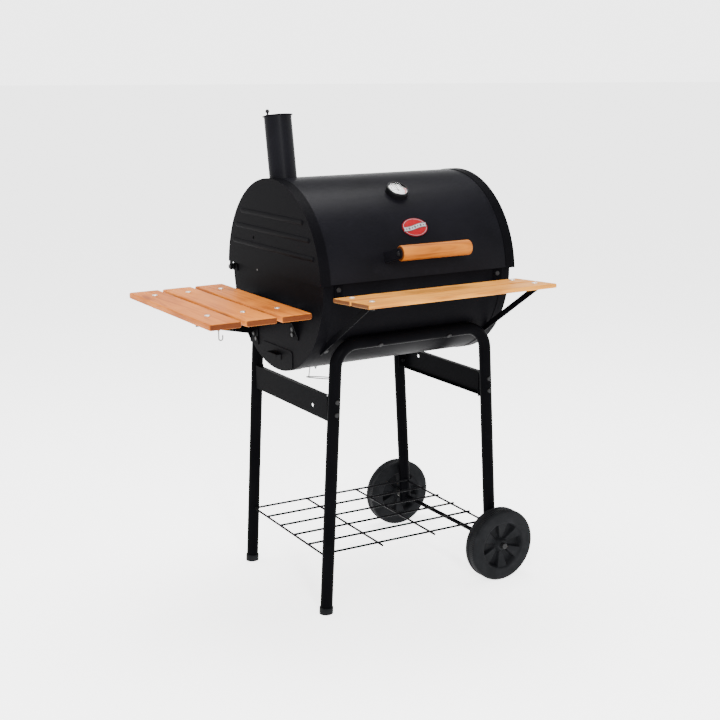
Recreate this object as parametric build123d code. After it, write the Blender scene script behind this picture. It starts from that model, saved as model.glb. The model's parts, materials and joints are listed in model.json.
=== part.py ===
from build123d import *
import math
import os

# Barrel charcoal grill on a four-leg tube cart. Millimetres, Z up, X along the
# barrel, -Y towards the cook. Everything is drawn about the barrel centre line
# and moved at export so that the origin is the bottom centre of the whole grill.

SHEET = 1.5            # thickness of the rolled and pressed steel
FIT = 0.05             # radial clearance of a pin in the part that turns on it
HOLE_GAP = 0.15        # radial clearance of a bolt in the sheet it holds
AIR = 0.3              # smallest gap kept between parts that move apart

# hood
HOOD_Z = 846.5
HOOD_R = 257.2
HOOD_HALF = 292.25
HOOD_EDGE_Z = 865.0
HOOD_CAP_EDGE_Z = 863.0
CAP_LIP = 1.4
HOOD_BAND = 28.0
CAP_HOLE_R = 4.0
CAP_HOLE_Y = 101.0
CAP_HOLE_Z = 944.0
RIB_ZS = (926.0, 969.5, 1010.0)
RIB_REACH = 234.0
RIB_HALF_HEIGHT = 7.0
RIB_RISE = 2.6

# body
BODY_Z = 858.0
BODY_R = 248.6
BODY_HALF = 281.0
BODY_EDGE_Z = 870.0
BODY_CAP_EDGE_Z = 868.0
BODY_BAND = 26.0

# hinge at the rear lower corner of the hood
HINGE_Y = 250.0
HINGE_Z = 848.0
HINGE_PIN_R = 3.0
HINGE_EYE_R = 9.0
HINGE_TAB = 3.0
HINGE_TAB_LENGTH = 38.0
HINGE_HEAD_R = 6.0
HINGE_HEAD = 3.6
HINGE_NUT_R = 5.2

# stack, radial to the hood and leaning back
STACK_X = -232.1
STACK_LEAN = 9.27
STACK_R = 35.6
STACK_HEIGHT = 156.5
STACK_FLANGE_R = 47.0
FLAP_R = 39.0
FLAP_THICK = 2.0
FLAP_PIVOT_X = -28.0
FLAP_SCREW_R = 2.5
FLAP_TAB_DROP = 8.0
KNOB_R = 5.25
KNOB_RISE = 13.0

# heat gauge and badge on the hood front
GAUGE_ANGLE = 122.3
GAUGE_R = 30.0
GAUGE_HEIGHT = 15.0
GAUGE_WALL = 5.0
GAUGE_DEEP = 6.0
GAUGE_STEM_R = 6.0
GAUGE_NUT_R = 11.0
GAUGE_NUT = 5.0
DIAL_THICK = 0.8
GLASS_THICK = 1.6
NEEDLE_LENGTH = 19.0
NEEDLE_TAIL = 6.0
NEEDLE_WIDTH = 1.8
NEEDLE_THICK = 0.7
NEEDLE_HUB_R = 2.4
PROBE_R = 2.2
PROBE_LENGTH = 58.0
BADGE_ANGLE = 147.8
BADGE_X = 3.0
BADGE_WIDE = 37.0
BADGE_TALL = 25.0
BADGE_THICK = 2.2

# handle
HANDLE_ANGLE = 163.9
HANDLE_OUT = 326.6
GRIP_R = 19.0
GRIP_HALF = 103.0
GRIP_EDGE = 4.0
ARM_THICK = 3.0
ARM_TALL = 26.0
ARM_REACH = 339.6
ARM_FOOT = 22.0
HANDLE_SCREW_R = 2.5
HANDLE_SCREW_HEAD_R = 5.5
HANDLE_SCREW_HEAD = 2.6
HANDLE_SCREW_LENGTH = 28.0

# cart frame
TUBE_R = 16.0
TUBE_WALL = 1.5
LEG_FOOT_X = 264.2
LEG_SLOPE = 0.05307
ARCH_Z = 704.5
ARCH_BEND = 61.5
LEG_JOINT_Z = 545.0
SPIGOT = 38.0
RIGHT_LEG_END_Z = 80.0
FOOT_CAP_R = 18.0
FOOT_CAP_TALL = 17.0
FOOT_CAP_FLOOR = 2.5
ARCH_BOLT_X = 105.0

# end braces
BRACE_LOW_Z = 509.0
BRACE_TOP_Z = 574.0
BRACE_X = 246.0
BRACE_THICK = 2.0
BRACE_LIP = 12.0
BRACE_TAB = 23.0
BRACE_BOLT_ZS = (530.0, 563.0)
BRACE_HOLE_R = 5.0

# wheels and axle
AXLE_X = 256.5
AXLE_R = 6.0
WHEEL_R = 100.0
WHEEL_IN = 237.0
WHEEL_OUT = 283.0
WHEEL_EDGE = 9.0
WHEEL_WEB = 12.0
SPOKES = 6
SPOKE_IN_R = 24.0
SPOKE_OUT_R = 62.0
SPOKE_HALF_ANGLE = 21.0
HUB_R = 21.0
HUB_WIDE = 37.0
AXLE_END = 289.0
AXLE_NUT_R = 8.0
WASHER_R = 11.0

# wire storage rack between the legs
RACK_WIRE_R = 2.9
RACK_CROSS_XS = (-257.0, -88.0, 78.0, 257.0)
RACK_HALF_Y = 196.0
RACK_Z = 150.0
RACK_TILT_Y = 0.96
RACK_TILT_X = 0.77
RACK_LONG_WIRES = 6
RACK_STUB_Y = 206.0
RACK_OVERHANG = 14.0

# front shelf
FRONT_HALF = 276.0
FRONT_BACK_Y = -286.0
FRONT_BACK_Z = 839.4
FRONT_TILT = 3.2
FRONT_DEEP = 166.0
FRONT_GAP = 6.0
SLAT_THICK = 11.0
SLAT_EDGE = 3.5
ARM_X = 239.5
ARM_HALF = 11.0
ARM_SHEET = 2.5
ARM_LIP = 7.0
ARM_TIP = 134.0
FRONT_BOLT_DEPTHS = (30.0, 122.0)
ARM_BOLT_Z = 851.0
ARM_TAB_TOP_Z = 861.0
STRUT_X = 247.0
STRUT_THICK = 3.0
STRUT_WIDE = 15.0
STRUT_TOP_Y = -398.0
STRUT_TOP_Z = 829.3
STRUT_TAB_DEPTHS = (104.0, 131.0)
STRUT_TAB_IN_X = 232.5
STRUT_FOOT_ANGLE = 223.05
STRUT_FOOT = 20.0
STRUT_FOOT_WIDE = 20.0

# side shelf
SIDE_IN = -312.0
SIDE_OUT = -583.0
SIDE_SLATS = 3
SIDE_GAP = 11.0
SIDE_FRONT = -252.0
SIDE_BACK = 262.0
SIDE_TOP_Z = 801.0
SIDE_THICK = 15.0
SIDE_CORNER = 7.0
BRACKET_SHEET = 2.5
BRACKET_TIP = -560.0
BRACKET_LIP = 40.0
BRACKET_WALL = 44.0
REAR_WEB_Y = 150.0
REAR_BOLT_Y = 182.0
FRONT_WEB_Y = -118.0
FRONT_BOLT_Y = -147.0
REAR_LOW_Z = 655.0
REAR_HEEL_Z = 679.0
REAR_KNEE_X = -389.0
REAR_KNEE_Z = 700.0
REAR_TIP_Z = 775.0
FRONT_LOW_Z = 706.0
FRONT_HEEL_Z = 753.0
FRONT_TIP_Z = 772.0
REAR_WALL_BOLTS = ((129.0, 682.0), (116.0, 670.0))
FRONT_WALL_BOLTS = ((-92.0, 731.0), (-92.0, 717.0))
HOOK_X = -553.0
HOOK_Y = -246.0
HOOK_DROP = 25.0
HOOK_BEND_R = 5.0
HOOK_TIP_Z = 773.0
HOOK_WIRE_R = 1.5

# bolts
BOLT_R = 3.0
BOLT_HEAD_R = 6.0
BOLT_HEAD = 3.0
NUT_R = 5.5
NUT = 4.0
CARRIAGE_HEAD_R = 7.0
CARRIAGE_HEAD = 2.2

# inside the barrel
GRATES = 3
GRATE_WIDE = 178.0
GRATE_GAP = 1.5
GRATE_HALF_Y = 237.5
GRATE_LOW_Z = 842.0
GRATE_THICK = 12.0
GRATE_FRAME = 9.0
GRATE_BARS = 9
GRATE_BAR = 8.0
GRATE_CROSS = 8.0
RAIL_DEEP = 18.0
RAIL_TALL = 14.0
RAIL_SHEET = 1.9
RAIL_HALF = 276.0
FIRE_Z = 700.0
FIRE_HALF_X = 262.0
FIRE_HALF_Y = 175.0
FIRE_THICK = 6.0
FIRE_BARS = 21
FIRE_BAR = 7.0
FIRE_RAIL_DEEP = 30.0
WARM_Z = 935.0
WARM_NEAR_Y = 50.0
WARM_FAR_Y = 164.0
WARM_HALF = 272.0
WARM_LEG_X = 276.0
WARM_FOOT_Z = 857.0
WARM_WIRES = 9
WARM_WIRE_R = 2.0
WARM_FRAME_R = 3.0

# ash drawer and air damper
TRAY_HALF_Y = 68.0
TRAY_LOW_Z = 624.0
TRAY_TOP_Z = 660.0
TRAY_END_X = 262.0
TRAY_SHEET = 1.2
PANEL_TOP_Z = 671.0
PANEL_LEFT_Y = 84.0
PANEL_RIGHT_Y = -86.0
PANEL_R = 246.0
PANEL_CORNER = 10.0
PULL_HALF_Y = 26.0
PULL_TALL = 16.0
PULL_OUT = 16.0
PULL_Z = 646.0
RUNNER_WIDE = 13.0
RUNNER_Y = 48.0
DAMPER_Z = 700.0
DAMPER_R = 50.0
DAMPER_PORTS = 3
DAMPER_PORT_R = 13.0
DAMPER_PORT_PCD_R = 30.0
DAMPER_EAR = 14.0

# wire holder for the drip can
CAN_X = -160.0
CAN_Y = -30.0
CAN_Z = 575.0
CAN_R = 45.0
CAN_LEAN = (-7.4, 9.1)
CAN_WIRE_R = 1.4
CAN_KNOT_R = 2.1
CAN_HOOK = ((5.5, 6.0), (14.0, 6.0), (21.5, -9.5), (26.0, 4.0))

# derived places
HOOD_IN_R = HOOD_R - SHEET
HOOD_LIP_R = HOOD_R + CAP_LIP
BODY_IN_R = BODY_R - SHEET
BODY_LIP_R = BODY_R + SHEET
LEG_Y = math.sqrt((BODY_R + TUBE_R + FIT) ** 2 - (BODY_Z - ARCH_Z) ** 2)
ARCH_CORNER_X = LEG_FOOT_X - LEG_SLOPE * ARCH_Z
CENTRE_X = (SIDE_OUT + AXLE_X + WHEEL_R) / 2
FRONT_TURN = math.radians(FRONT_TILT)
FRONT_DROP = (SLAT_THICK - SLAT_EDGE) * math.sin(FRONT_TURN) + SLAT_EDGE
FRONT_EDGE_Y = FRONT_BACK_Y - (FRONT_DEEP - SLAT_EDGE) * math.cos(FRONT_TURN) - FRONT_DROP
CENTRE_Y = (FRONT_EDGE_Y + AXLE_END) / 2
TO_ORIGIN = Pos(-CENTRE_X, -CENTRE_Y, 0)
BIG = 2000.0


# ---------------------------------------------------------------- helpers
def rod(start, end, radius):
    """A round bar from one point to another."""
    a = Vector(*start)
    way = Vector(*end) - a
    return Plane(origin=a, z_dir=way).location * Pos(0, 0, way.length / 2) * Cylinder(radius, way.length)


def pipe(start, end, outer, inner):
    """A round bar with a round bore right through."""
    return rod(start, end, outer) - rod(start, end, inner)


def block(x, y, z):
    """A box between two values on each axis."""
    size = [abs(pair[1] - pair[0]) for pair in (x, y, z)]
    middle = [(pair[1] + pair[0]) / 2 for pair in (x, y, z)]
    return Pos(*middle) * Box(*size)


def slab(points, way, thick):
    """A flat outline of 3-D points given some thickness along a direction."""
    outline = make_face(Polyline(*points, close=True))
    return extrude(outline, amount=thick, dir=way)


def bent_wire(points, radius):
    """Straight wire lengths joined by balls at the bends."""
    shape = rod(points[0], points[1], radius)
    for a, b in zip(points[1:-1], points[2:]):
        shape += Pos(*a) * Sphere(radius)
        shape += rod(a, b, radius)
    return shape


def swept_wire(points, bend, radius):
    """One round wire along straight lengths with rounded bends."""
    path = FilletPolyline(*points, radius=bend)
    return sweep(Plane(origin=path @ 0, z_dir=path % 0) * Circle(radius), path=path)


def along_x(x_low, x_high, z, radius):
    """A cylinder about a barrel axis at height z."""
    return rod((x_low, 0, z), (x_high, 0, z), radius)


def below(z):
    """Everything under a height."""
    return block((-BIG, BIG), (-BIG, BIG), (-BIG, z))


def above(z):
    """Everything over a height."""
    return block((-BIG, BIG), (-BIG, BIG), (z, BIG))


def spot(angle, reach, x, z):
    """A point at an angle and a radius about a barrel axis at height z."""
    turn = math.radians(angle)
    return (x, reach * math.cos(turn), z + reach * math.sin(turn))


def hood_place(angle, x=0.0):
    """Local frame on the hood: X along the barrel, Y up its skin, Z outwards."""
    turn = math.radians(angle)
    way = (0, math.cos(turn), math.sin(turn))
    return Plane(origin=(x, 0, HOOD_Z), x_dir=(1, 0, 0), z_dir=way).location


def bolt(seat, way, grip, nut=True, head_r=BOLT_HEAD_R, head=BOLT_HEAD, radius=BOLT_R):
    """A bolt with its head on the seat, running along way through the grip to a nut."""
    place = Plane(origin=Vector(*seat), z_dir=Vector(*way)).location
    tail = grip + (NUT if nut else 0)
    shape = Pos(0, 0, -head / 2) * Cylinder(head_r, head)
    shape = fillet(shape.edges().group_by(Axis.Z)[0], head * 0.45)
    shape += Pos(0, 0, tail / 2) * Cylinder(radius, tail)
    if nut:
        hexagon = extrude(RegularPolygon(NUT_R, 6), amount=NUT)
        shape += Pos(0, 0, grip) * hexagon
    return place * shape


def bolt_hole(seat, way, grip, radius=BOLT_R):
    """The round space a bolt needs in what it holds."""
    a = Vector(*seat)
    d = Vector(*way).normalized()
    return rod(tuple(a - d * grip), tuple(a + d * grip), radius + HOLE_GAP)


def drilled(shape, bolts, radius=BOLT_R):
    """A shape with the holes of a list of bolts cut out."""
    for seat, way, grip in bolts:
        shape -= bolt_hole(seat, way, grip, radius)
    return shape


def save(name, shapes):
    """One STEP file per named piece; repeated fasteners stay separate solids."""
    solids = []
    for shape in shapes if isinstance(shapes, list) else [shapes]:
        solids.extend(shape.solids())
    moved = [TO_ORIGIN * solid for solid in solids]
    whole = moved[0] if len(moved) == 1 else Compound(children=moved)
    whole.label = name
    export_step(whole, f"parts/{name}.step")


# ---------------------------------------------------------------- bolt places
def arch_bolts():
    """Radial bolts through the top tubes into the barrel, front and rear."""
    places = []
    for side in (-1, 1):
        way = Vector(0, -side * LEG_Y, BODY_Z - ARCH_Z).normalized()
        for x in (-ARCH_BOLT_X, ARCH_BOLT_X):
            seat = Vector(x, side * LEG_Y, ARCH_Z) - way * (TUBE_R + FIT)
            places.append((tuple(seat), tuple(way), 2 * TUBE_R + SHEET + 4 * FIT))
    return places


def leg_x(z):
    """Distance of a leg's centre line from the middle at a height."""
    return LEG_FOOT_X - LEG_SLOPE * z


def brace_bolts():
    """Bolts through the legs and the brace tabs, heads on the outside."""
    places = []
    for side_y in (-1, 1):
        for side_x in (-1, 1):
            for z in BRACE_BOLT_ZS:
                seat = (side_x * leg_x(z), side_y * (LEG_Y + TUBE_R + FIT), z)
                places.append((seat, (0, -side_y, 0), 2 * TUBE_R + BRACE_THICK + 4 * FIT))
    return places


def rail_bolts():
    """Bolts through the barrel wall into the grate rails; the front ones hold the shelf."""
    places = []
    for x in (-ARM_X, ARM_X):
        seat = (x, -(BODY_R + ARM_SHEET + 3 * FIT), ARM_BOLT_Z)
        places.append((seat, (0, 1, 0), BODY_R + ARM_SHEET + 3 * FIT - GRATE_RAIL_IN))
        seat = (x, BODY_R + 3 * FIT, ARM_BOLT_Z)
        places.append((seat, (0, -1, 0), BODY_R + 3 * FIT - GRATE_RAIL_IN))
    return places


def strut_bolts():
    """Bolts through the feet of the shelf struts into the barrel."""
    places = []
    foot_x = STRUT_X + STRUT_THICK / 2 - STRUT_FOOT_WIDE / 2
    for side in (-1, 1):
        seat = spot(STRUT_FOOT_ANGLE, BODY_R + STRUT_THICK + 5 * FIT, side * foot_x, BODY_Z)
        way = Vector(0, -seat[1], BODY_Z - seat[2]).normalized()
        places.append((seat, tuple(way), STRUT_THICK + SHEET + 7 * FIT))
    return places


def front_slat_bolts():
    """Bolts down through the front slats and the arms; the outer ones take the struts too."""
    places = []
    for x in (-ARM_X, ARM_X):
        for depth in FRONT_BOLT_DEPTHS:
            seat = FRONT_SHELF * Pos(x, -depth, 0)
            down = FRONT_SHELF * Pos(x, -depth, -1)
            way = down.position - seat.position
            grip = SLAT_THICK + ARM_SHEET + 2 * FIT
            if depth > STRUT_TAB_DEPTHS[0]:
                grip += STRUT_THICK + FIT
            places.append((tuple(seat.position), tuple(way), grip))
    return places


def side_slat_bolts():
    """Bolts down through each side slat into both brackets."""
    places = []
    for low, high in side_slat_spans():
        for y in (FRONT_BOLT_Y, REAR_BOLT_Y):
            seat = ((low + high) / 2, y, SIDE_TOP_Z)
            places.append((seat, (0, 0, -1), SIDE_THICK + BRACKET_SHEET + 2 * FIT))
    return places


def side_wall_bolts():
    """Bolts through the bracket feet into the left end of the barrel."""
    places = []
    for y, z in REAR_WALL_BOLTS + FRONT_WALL_BOLTS:
        seat = (-BODY_HALF - BRACKET_SHEET - 2 * FIT, y, z)
        places.append((seat, (1, 0, 0), BRACKET_SHEET + SHEET + 4 * FIT))
    return places


GRATE_RAIL_IN = GRATE_HALF_Y + NUT + 1.8
FRONT_SHELF = Pos(0, FRONT_BACK_Y, FRONT_BACK_Z) * Rot(-FRONT_TILT, 0, 0)


def side_slat_spans():
    """Low and high X of each side slat, outermost first."""
    width = (SIDE_IN - SIDE_OUT - (SIDE_SLATS - 1) * SIDE_GAP) / SIDE_SLATS
    starts = [SIDE_OUT + i * (width + SIDE_GAP) for i in range(SIDE_SLATS)]
    return [(start, start + width) for start in starts]


# ---------------------------------------------------------------- hood
def stack_axis_point(height):
    """A point on the stack's centre line, measured out from the hood's axis."""
    return spot(90.0 - STACK_LEAN, height, STACK_X, HOOD_Z)


def stack_bore():
    """The space the stack takes where it goes through the hood."""
    return rod(stack_axis_point(HOOD_IN_R - GAUGE_STEM_R), stack_axis_point(HOOD_R + HOOD_BAND), STACK_R + FIT)


def handle_foot_bolts():
    """Radial screws through the handle feet into the hood."""
    places = []
    for side in (-1, 1):
        x = side * (GRIP_HALF - ARM_FOOT / 2)
        seat = spot(HANDLE_ANGLE, HOOD_R + ARM_THICK + 1.0, x, HOOD_Z)
        way = Vector(0, -seat[1], HOOD_Z - seat[2]).normalized()
        places.append((seat, tuple(way), ARM_THICK + SHEET + 1.0 + 2 * FIT))
    return places


def hood_shell():
    """The rolled lid sheet, a little over half a drum."""
    end = HOOD_HALF - SHEET
    sheet = along_x(-end, end, HOOD_Z, HOOD_R) - along_x(-end, end, HOOD_Z, HOOD_IN_R)
    sheet -= below(HOOD_EDGE_Z)
    sheet -= stack_bore()
    sheet -= rod((0, 0, HOOD_Z), spot(GAUGE_ANGLE, HOOD_LIP_R + HOOD_BAND, 0, HOOD_Z), GAUGE_STEM_R + HOLE_GAP)
    return drilled(sheet, handle_foot_bolts())


def hinge_eye(x_low, x_high):
    """Round end of a hinge tab about the pin."""
    return rod((x_low, HINGE_Y, HINGE_Z), (x_high, HINGE_Y, HINGE_Z), HINGE_EYE_R)


def hinge_bore(side):
    """The pin hole in a hinge tab, with the turning fit."""
    return rod((side * (BODY_HALF - SHEET), HINGE_Y, HINGE_Z), (side * BIG, HINGE_Y, HINGE_Z), HINGE_PIN_R + FIT)


def hood_cap(side):
    """A pressed end of the lid: plate, outer band, three ribs and a hinge tab."""
    face = HOOD_HALF - SHEET
    plate = along_x(side * face, side * HOOD_HALF, HOOD_Z, HOOD_LIP_R)
    band = along_x(side * (HOOD_HALF - HOOD_BAND), side * face, HOOD_Z, HOOD_LIP_R)
    band -= along_x(side * (HOOD_HALF - HOOD_BAND), side * face, HOOD_Z, HOOD_R)
    cap = plate + band
    bulge = (RIB_HALF_HEIGHT ** 2 + RIB_RISE ** 2) / (2 * RIB_RISE)
    for z in RIB_ZS:
        half = math.sqrt(RIB_REACH ** 2 - (z - HOOD_Z) ** 2)
        middle = side * (HOOD_HALF + RIB_RISE - bulge)
        rib = rod((middle, -half, z), (middle, half, z), bulge)
        for end in (-half, half):
            rib += Pos(middle, end, z) * Sphere(bulge)
        cap += rib & block((side * (face + FIT), side * BIG), (-BIG, BIG), (0, BIG))
    cap -= below(HOOD_CAP_EDGE_Z)
    low, high = side * (face - HINGE_TAB), side * face
    strap = block((low, high), (HINGE_Y - HINGE_EYE_R, HINGE_Y + HINGE_EYE_R), (HINGE_Z, HINGE_Z + HINGE_TAB_LENGTH))
    strap &= along_x(low, high, HOOD_Z, HOOD_IN_R - AIR)
    tab = hinge_eye(low, high) + strap
    cap = cap + tab - hinge_bore(side)
    if side < 0:
        cap -= rod((0, CAP_HOLE_Y, CAP_HOLE_Z), (-BIG, CAP_HOLE_Y, CAP_HOLE_Z), CAP_HOLE_R)
    return cap - stack_bore()


def hinge_bolts():
    """Pin, outer head and the nut between the two tabs, once at each end."""
    pins = []
    for side in (-1, 1):
        face = side * (HOOD_HALF - SHEET)
        body_face = side * (BODY_HALF + FIT)
        nut_in = side * (BODY_HALF + HINGE_TAB + 2 * FIT)
        nut_out = side * (HOOD_HALF - SHEET - HINGE_TAB - AIR)
        pin = rod((body_face, HINGE_Y, HINGE_Z), (face, HINGE_Y, HINGE_Z), HINGE_PIN_R)
        pin += rod((nut_in, HINGE_Y, HINGE_Z), (nut_out, HINGE_Y, HINGE_Z), HINGE_NUT_R)
        head_in = side * (HOOD_HALF - SHEET + AIR)
        head_out = side * (HOOD_HALF - SHEET + AIR + HINGE_HEAD)
        pin += rod((face, HINGE_Y, HINGE_Z), (head_in, HINGE_Y, HINGE_Z), HINGE_PIN_R)
        pin += rod((head_in, HINGE_Y, HINGE_Z), (head_out, HINGE_Y, HINGE_Z), HINGE_HEAD_R)
        pins.append(pin)
    return pins


def stack_place(height=0.0):
    """Local frame on the stack's centre line, Z out of the stack."""
    turn = math.radians(90.0 - STACK_LEAN)
    way = (0, math.cos(turn), math.sin(turn))
    reach = HOOD_LIP_R + height
    return Plane(origin=stack_axis_point(reach), x_dir=(1, 0, 0), z_dir=way).location


def stack_tube():
    """The chimney tube with a small inner ear that holds the flap screw."""
    low, high = stack_axis_point(HOOD_IN_R - GAUGE_NUT), stack_axis_point(HOOD_LIP_R + STACK_HEIGHT)
    tube = pipe(low, high, STACK_R, STACK_R - SHEET)
    ear = Pos(FLAP_PIVOT_X, 0, -FLAP_THICK) * Cylinder(FLAP_TAB_DROP, SHEET)
    bridge = Pos(-STACK_R, 0, -FLAP_THICK) * Box(2 * FLAP_TAB_DROP, FLAP_TAB_DROP, SHEET)
    shelf = (ear + bridge) & Cylinder(STACK_R - SHEET / 2, BIG)
    shelf -= Pos(FLAP_PIVOT_X, 0, 0) * Cylinder(FLAP_SCREW_R + FIT, STACK_HEIGHT)
    return tube + stack_place(STACK_HEIGHT) * shelf


def stack_flange():
    """A curved ring under the lid that holds the stack."""
    ring = rod(stack_axis_point(0), stack_axis_point(HOOD_R), STACK_FLANGE_R)
    ring &= along_x(-HOOD_HALF, 0, HOOD_Z, HOOD_IN_R - FIT)
    ring -= along_x(-HOOD_HALF, 0, HOOD_Z, HOOD_IN_R - FIT - SHEET)
    return ring - rod(stack_axis_point(0), stack_axis_point(HOOD_R), STACK_R + FIT)


def stack_flap():
    """The round lid that swings off the top of the stack."""
    disc = Pos(0, 0, AIR + FLAP_THICK / 2) * Cylinder(FLAP_R, FLAP_THICK)
    disc -= Pos(FLAP_PIVOT_X, 0, 0) * Cylinder(FLAP_SCREW_R, STACK_HEIGHT)
    return stack_place(STACK_HEIGHT) * disc


def stack_flap_knob():
    """Ball knob on the screw that the flap turns with."""
    knob = Pos(0, 0, KNOB_RISE) * Sphere(KNOB_R)
    knob += Pos(0, 0, KNOB_RISE / 2) * Cylinder(FLAP_SCREW_R, KNOB_RISE)
    knob -= Pos(0, 0, AIR + FLAP_THICK) * Pos(0, 0, -BIG / 2) * Box(BIG, BIG, BIG)
    collar = Pos(0, 0, AIR + 1.5 * FLAP_THICK) * Cylinder(2 * FLAP_SCREW_R, FLAP_THICK)
    shank = Pos(0, 0, AIR) * Cylinder(FLAP_SCREW_R, 2 * FLAP_TAB_DROP)
    tip = Pos(0, 0, -FLAP_TAB_DROP) * Cylinder(FLAP_SCREW_R * 1.8, FLAP_THICK)
    return stack_place(STACK_HEIGHT) * Pos(FLAP_PIVOT_X, 0, 0) * (knob + collar + shank + tip)


def gauge_case():
    """Bezel cup on the lid, its threaded stem, the nut inside and the probe."""
    place = hood_place(GAUGE_ANGLE)
    base = HOOD_R + FIT
    cup = Pos(0, 0, base + GAUGE_HEIGHT / 2) * Cylinder(GAUGE_R, GAUGE_HEIGHT)
    cup = fillet(cup.edges().group_by(Axis.Z)[-1], GAUGE_WALL * 0.7)
    cup -= Pos(0, 0, base + GAUGE_HEIGHT - GAUGE_DEEP / 2) * Cylinder(GAUGE_R - GAUGE_WALL, GAUGE_DEEP)
    stem_low = HOOD_IN_R - 2 * GAUGE_NUT
    stem = Pos(0, 0, (stem_low + base + GAUGE_WALL) / 2) * Cylinder(GAUGE_STEM_R, base + GAUGE_WALL - stem_low)
    nut = Pos(0, 0, HOOD_IN_R - 1.5 * GAUGE_NUT) * Cylinder(GAUGE_NUT_R, GAUGE_NUT)
    probe_low = HOOD_R - PROBE_LENGTH
    probe = Pos(0, 0, (probe_low + base) / 2) * Cylinder(PROBE_R, base - probe_low)
    return place * (cup + stem + nut + probe)


def gauge_levels():
    """Heights of the dial back, needle and glass over the hood axis."""
    dial = HOOD_R + FIT + GAUGE_HEIGHT - GAUGE_DEEP
    needle = dial + DIAL_THICK + 1.2
    glass = HOOD_R + FIT + GAUGE_HEIGHT - GLASS_THICK - 0.6
    return dial, needle, glass


def gauge_dial():
    """The printed face under the needle."""
    dial, _, _ = gauge_levels()
    disc = Pos(0, 0, dial + DIAL_THICK / 2) * Cylinder(GAUGE_R - GAUGE_WALL, DIAL_THICK)
    return hood_place(GAUGE_ANGLE) * disc


def gauge_needle():
    """The pointer on its hub."""
    _, needle, _ = gauge_levels()
    reach = NEEDLE_LENGTH + NEEDLE_TAIL
    arm = Pos(0, NEEDLE_LENGTH - reach / 2, 0) * Box(NEEDLE_WIDTH, reach, NEEDLE_THICK)
    hub = Cylinder(NEEDLE_HUB_R, 2 * NEEDLE_THICK)
    return hood_place(GAUGE_ANGLE) * Pos(0, 0, needle + NEEDLE_THICK) * (arm + hub)


def gauge_glass():
    """The window in front of the needle."""
    _, _, glass = gauge_levels()
    disc = Pos(0, 0, glass + GLASS_THICK / 2) * Cylinder(GAUGE_R - GAUGE_WALL, GLASS_THICK)
    return hood_place(GAUGE_ANGLE) * disc


def badge_plate():
    """An oval plate bent to the lid."""
    oval = extrude(Ellipse(BADGE_WIDE, BADGE_TALL), amount=HOOD_R + BIG / 8)
    oval = hood_place(BADGE_ANGLE, BADGE_X) * oval
    skin = along_x(-HOOD_HALF, HOOD_HALF, HOOD_Z, HOOD_R + FIT + BADGE_THICK)
    skin -= along_x(-HOOD_HALF, HOOD_HALF, HOOD_Z, HOOD_R + FIT)
    return oval & skin


def handle_grip():
    """The turned wood bar."""
    place = hood_place(HANDLE_ANGLE) * Pos(0, 0, HANDLE_OUT)
    grip = Rot(0, 90, 0) * Cylinder(GRIP_R, 2 * GRIP_HALF)
    grip = fillet(grip.edges(), GRIP_EDGE)
    bore = Rot(0, 90, 0) * Cylinder(HANDLE_SCREW_R, 2 * HANDLE_SCREW_LENGTH)
    for side in (-1, 1):
        grip -= Pos(side * GRIP_HALF, 0, 0) * bore
    return place * grip


def handle_arms():
    """Two flat arms with a foot on the lid, covering the ends of the grip."""
    arms = []
    place = hood_place(HANDLE_ANGLE)
    base = HOOD_R + 1.0
    for side in (-1, 1):
        middle = side * (GRIP_HALF + ARM_THICK / 2)
        top = ARM_REACH - ARM_TALL / 2
        plate = Pos(middle, 0, (base + top) / 2) * Box(ARM_THICK, ARM_TALL, top - base)
        plate += Pos(middle, 0, top) * Rot(0, 90, 0) * Cylinder(ARM_TALL / 2, ARM_THICK)
        foot_x = side * (GRIP_HALF + ARM_THICK - (ARM_FOOT + ARM_THICK) / 2)
        plate += Pos(foot_x, 0, base + ARM_THICK / 2) * Box(ARM_FOOT + ARM_THICK, ARM_TALL, ARM_THICK)
        plate -= Pos(middle, 0, HANDLE_OUT) * Rot(0, 90, 0) * Cylinder(HANDLE_SCREW_R + HOLE_GAP, BIG / 8)
        plate = place * plate
        plate -= along_x(-HOOD_HALF, HOOD_HALF, HOOD_Z, HOOD_R + FIT)
        arms.append(drilled(plate, handle_foot_bolts()))
    return arms


def handle_screws():
    """Wood screws into the grip and bolts through the feet."""
    screws = []
    for side in (-1, 1):
        seat = spot(HANDLE_ANGLE, HANDLE_OUT, side * (GRIP_HALF + ARM_THICK + FIT), HOOD_Z)
        screw = bolt(seat, (-side, 0, 0), HANDLE_SCREW_LENGTH, nut=False, head_r=HANDLE_SCREW_HEAD_R,
                     head=HANDLE_SCREW_HEAD, radius=HANDLE_SCREW_R)
        screws.append(screw)
    for seat, way, grip in handle_foot_bolts():
        screws.append(bolt(seat, way, grip))
    return screws


# ---------------------------------------------------------------- body
def body_shell():
    """The rolled lower sheet of the barrel."""
    end = BODY_HALF - SHEET
    sheet = along_x(-end, end, BODY_Z, BODY_R) - along_x(-end, end, BODY_Z, BODY_IN_R)
    sheet -= above(BODY_EDGE_Z)
    sheet = drilled(sheet, arch_bolts() + rail_bolts() + strut_bolts())
    for side in (-1, 1):
        points = can_hook_points(side)
        for start, end in zip(points, points[1:]):
            sheet -= rod(start, end, CAN_WIRE_R + HOLE_GAP)
    return sheet


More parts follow.
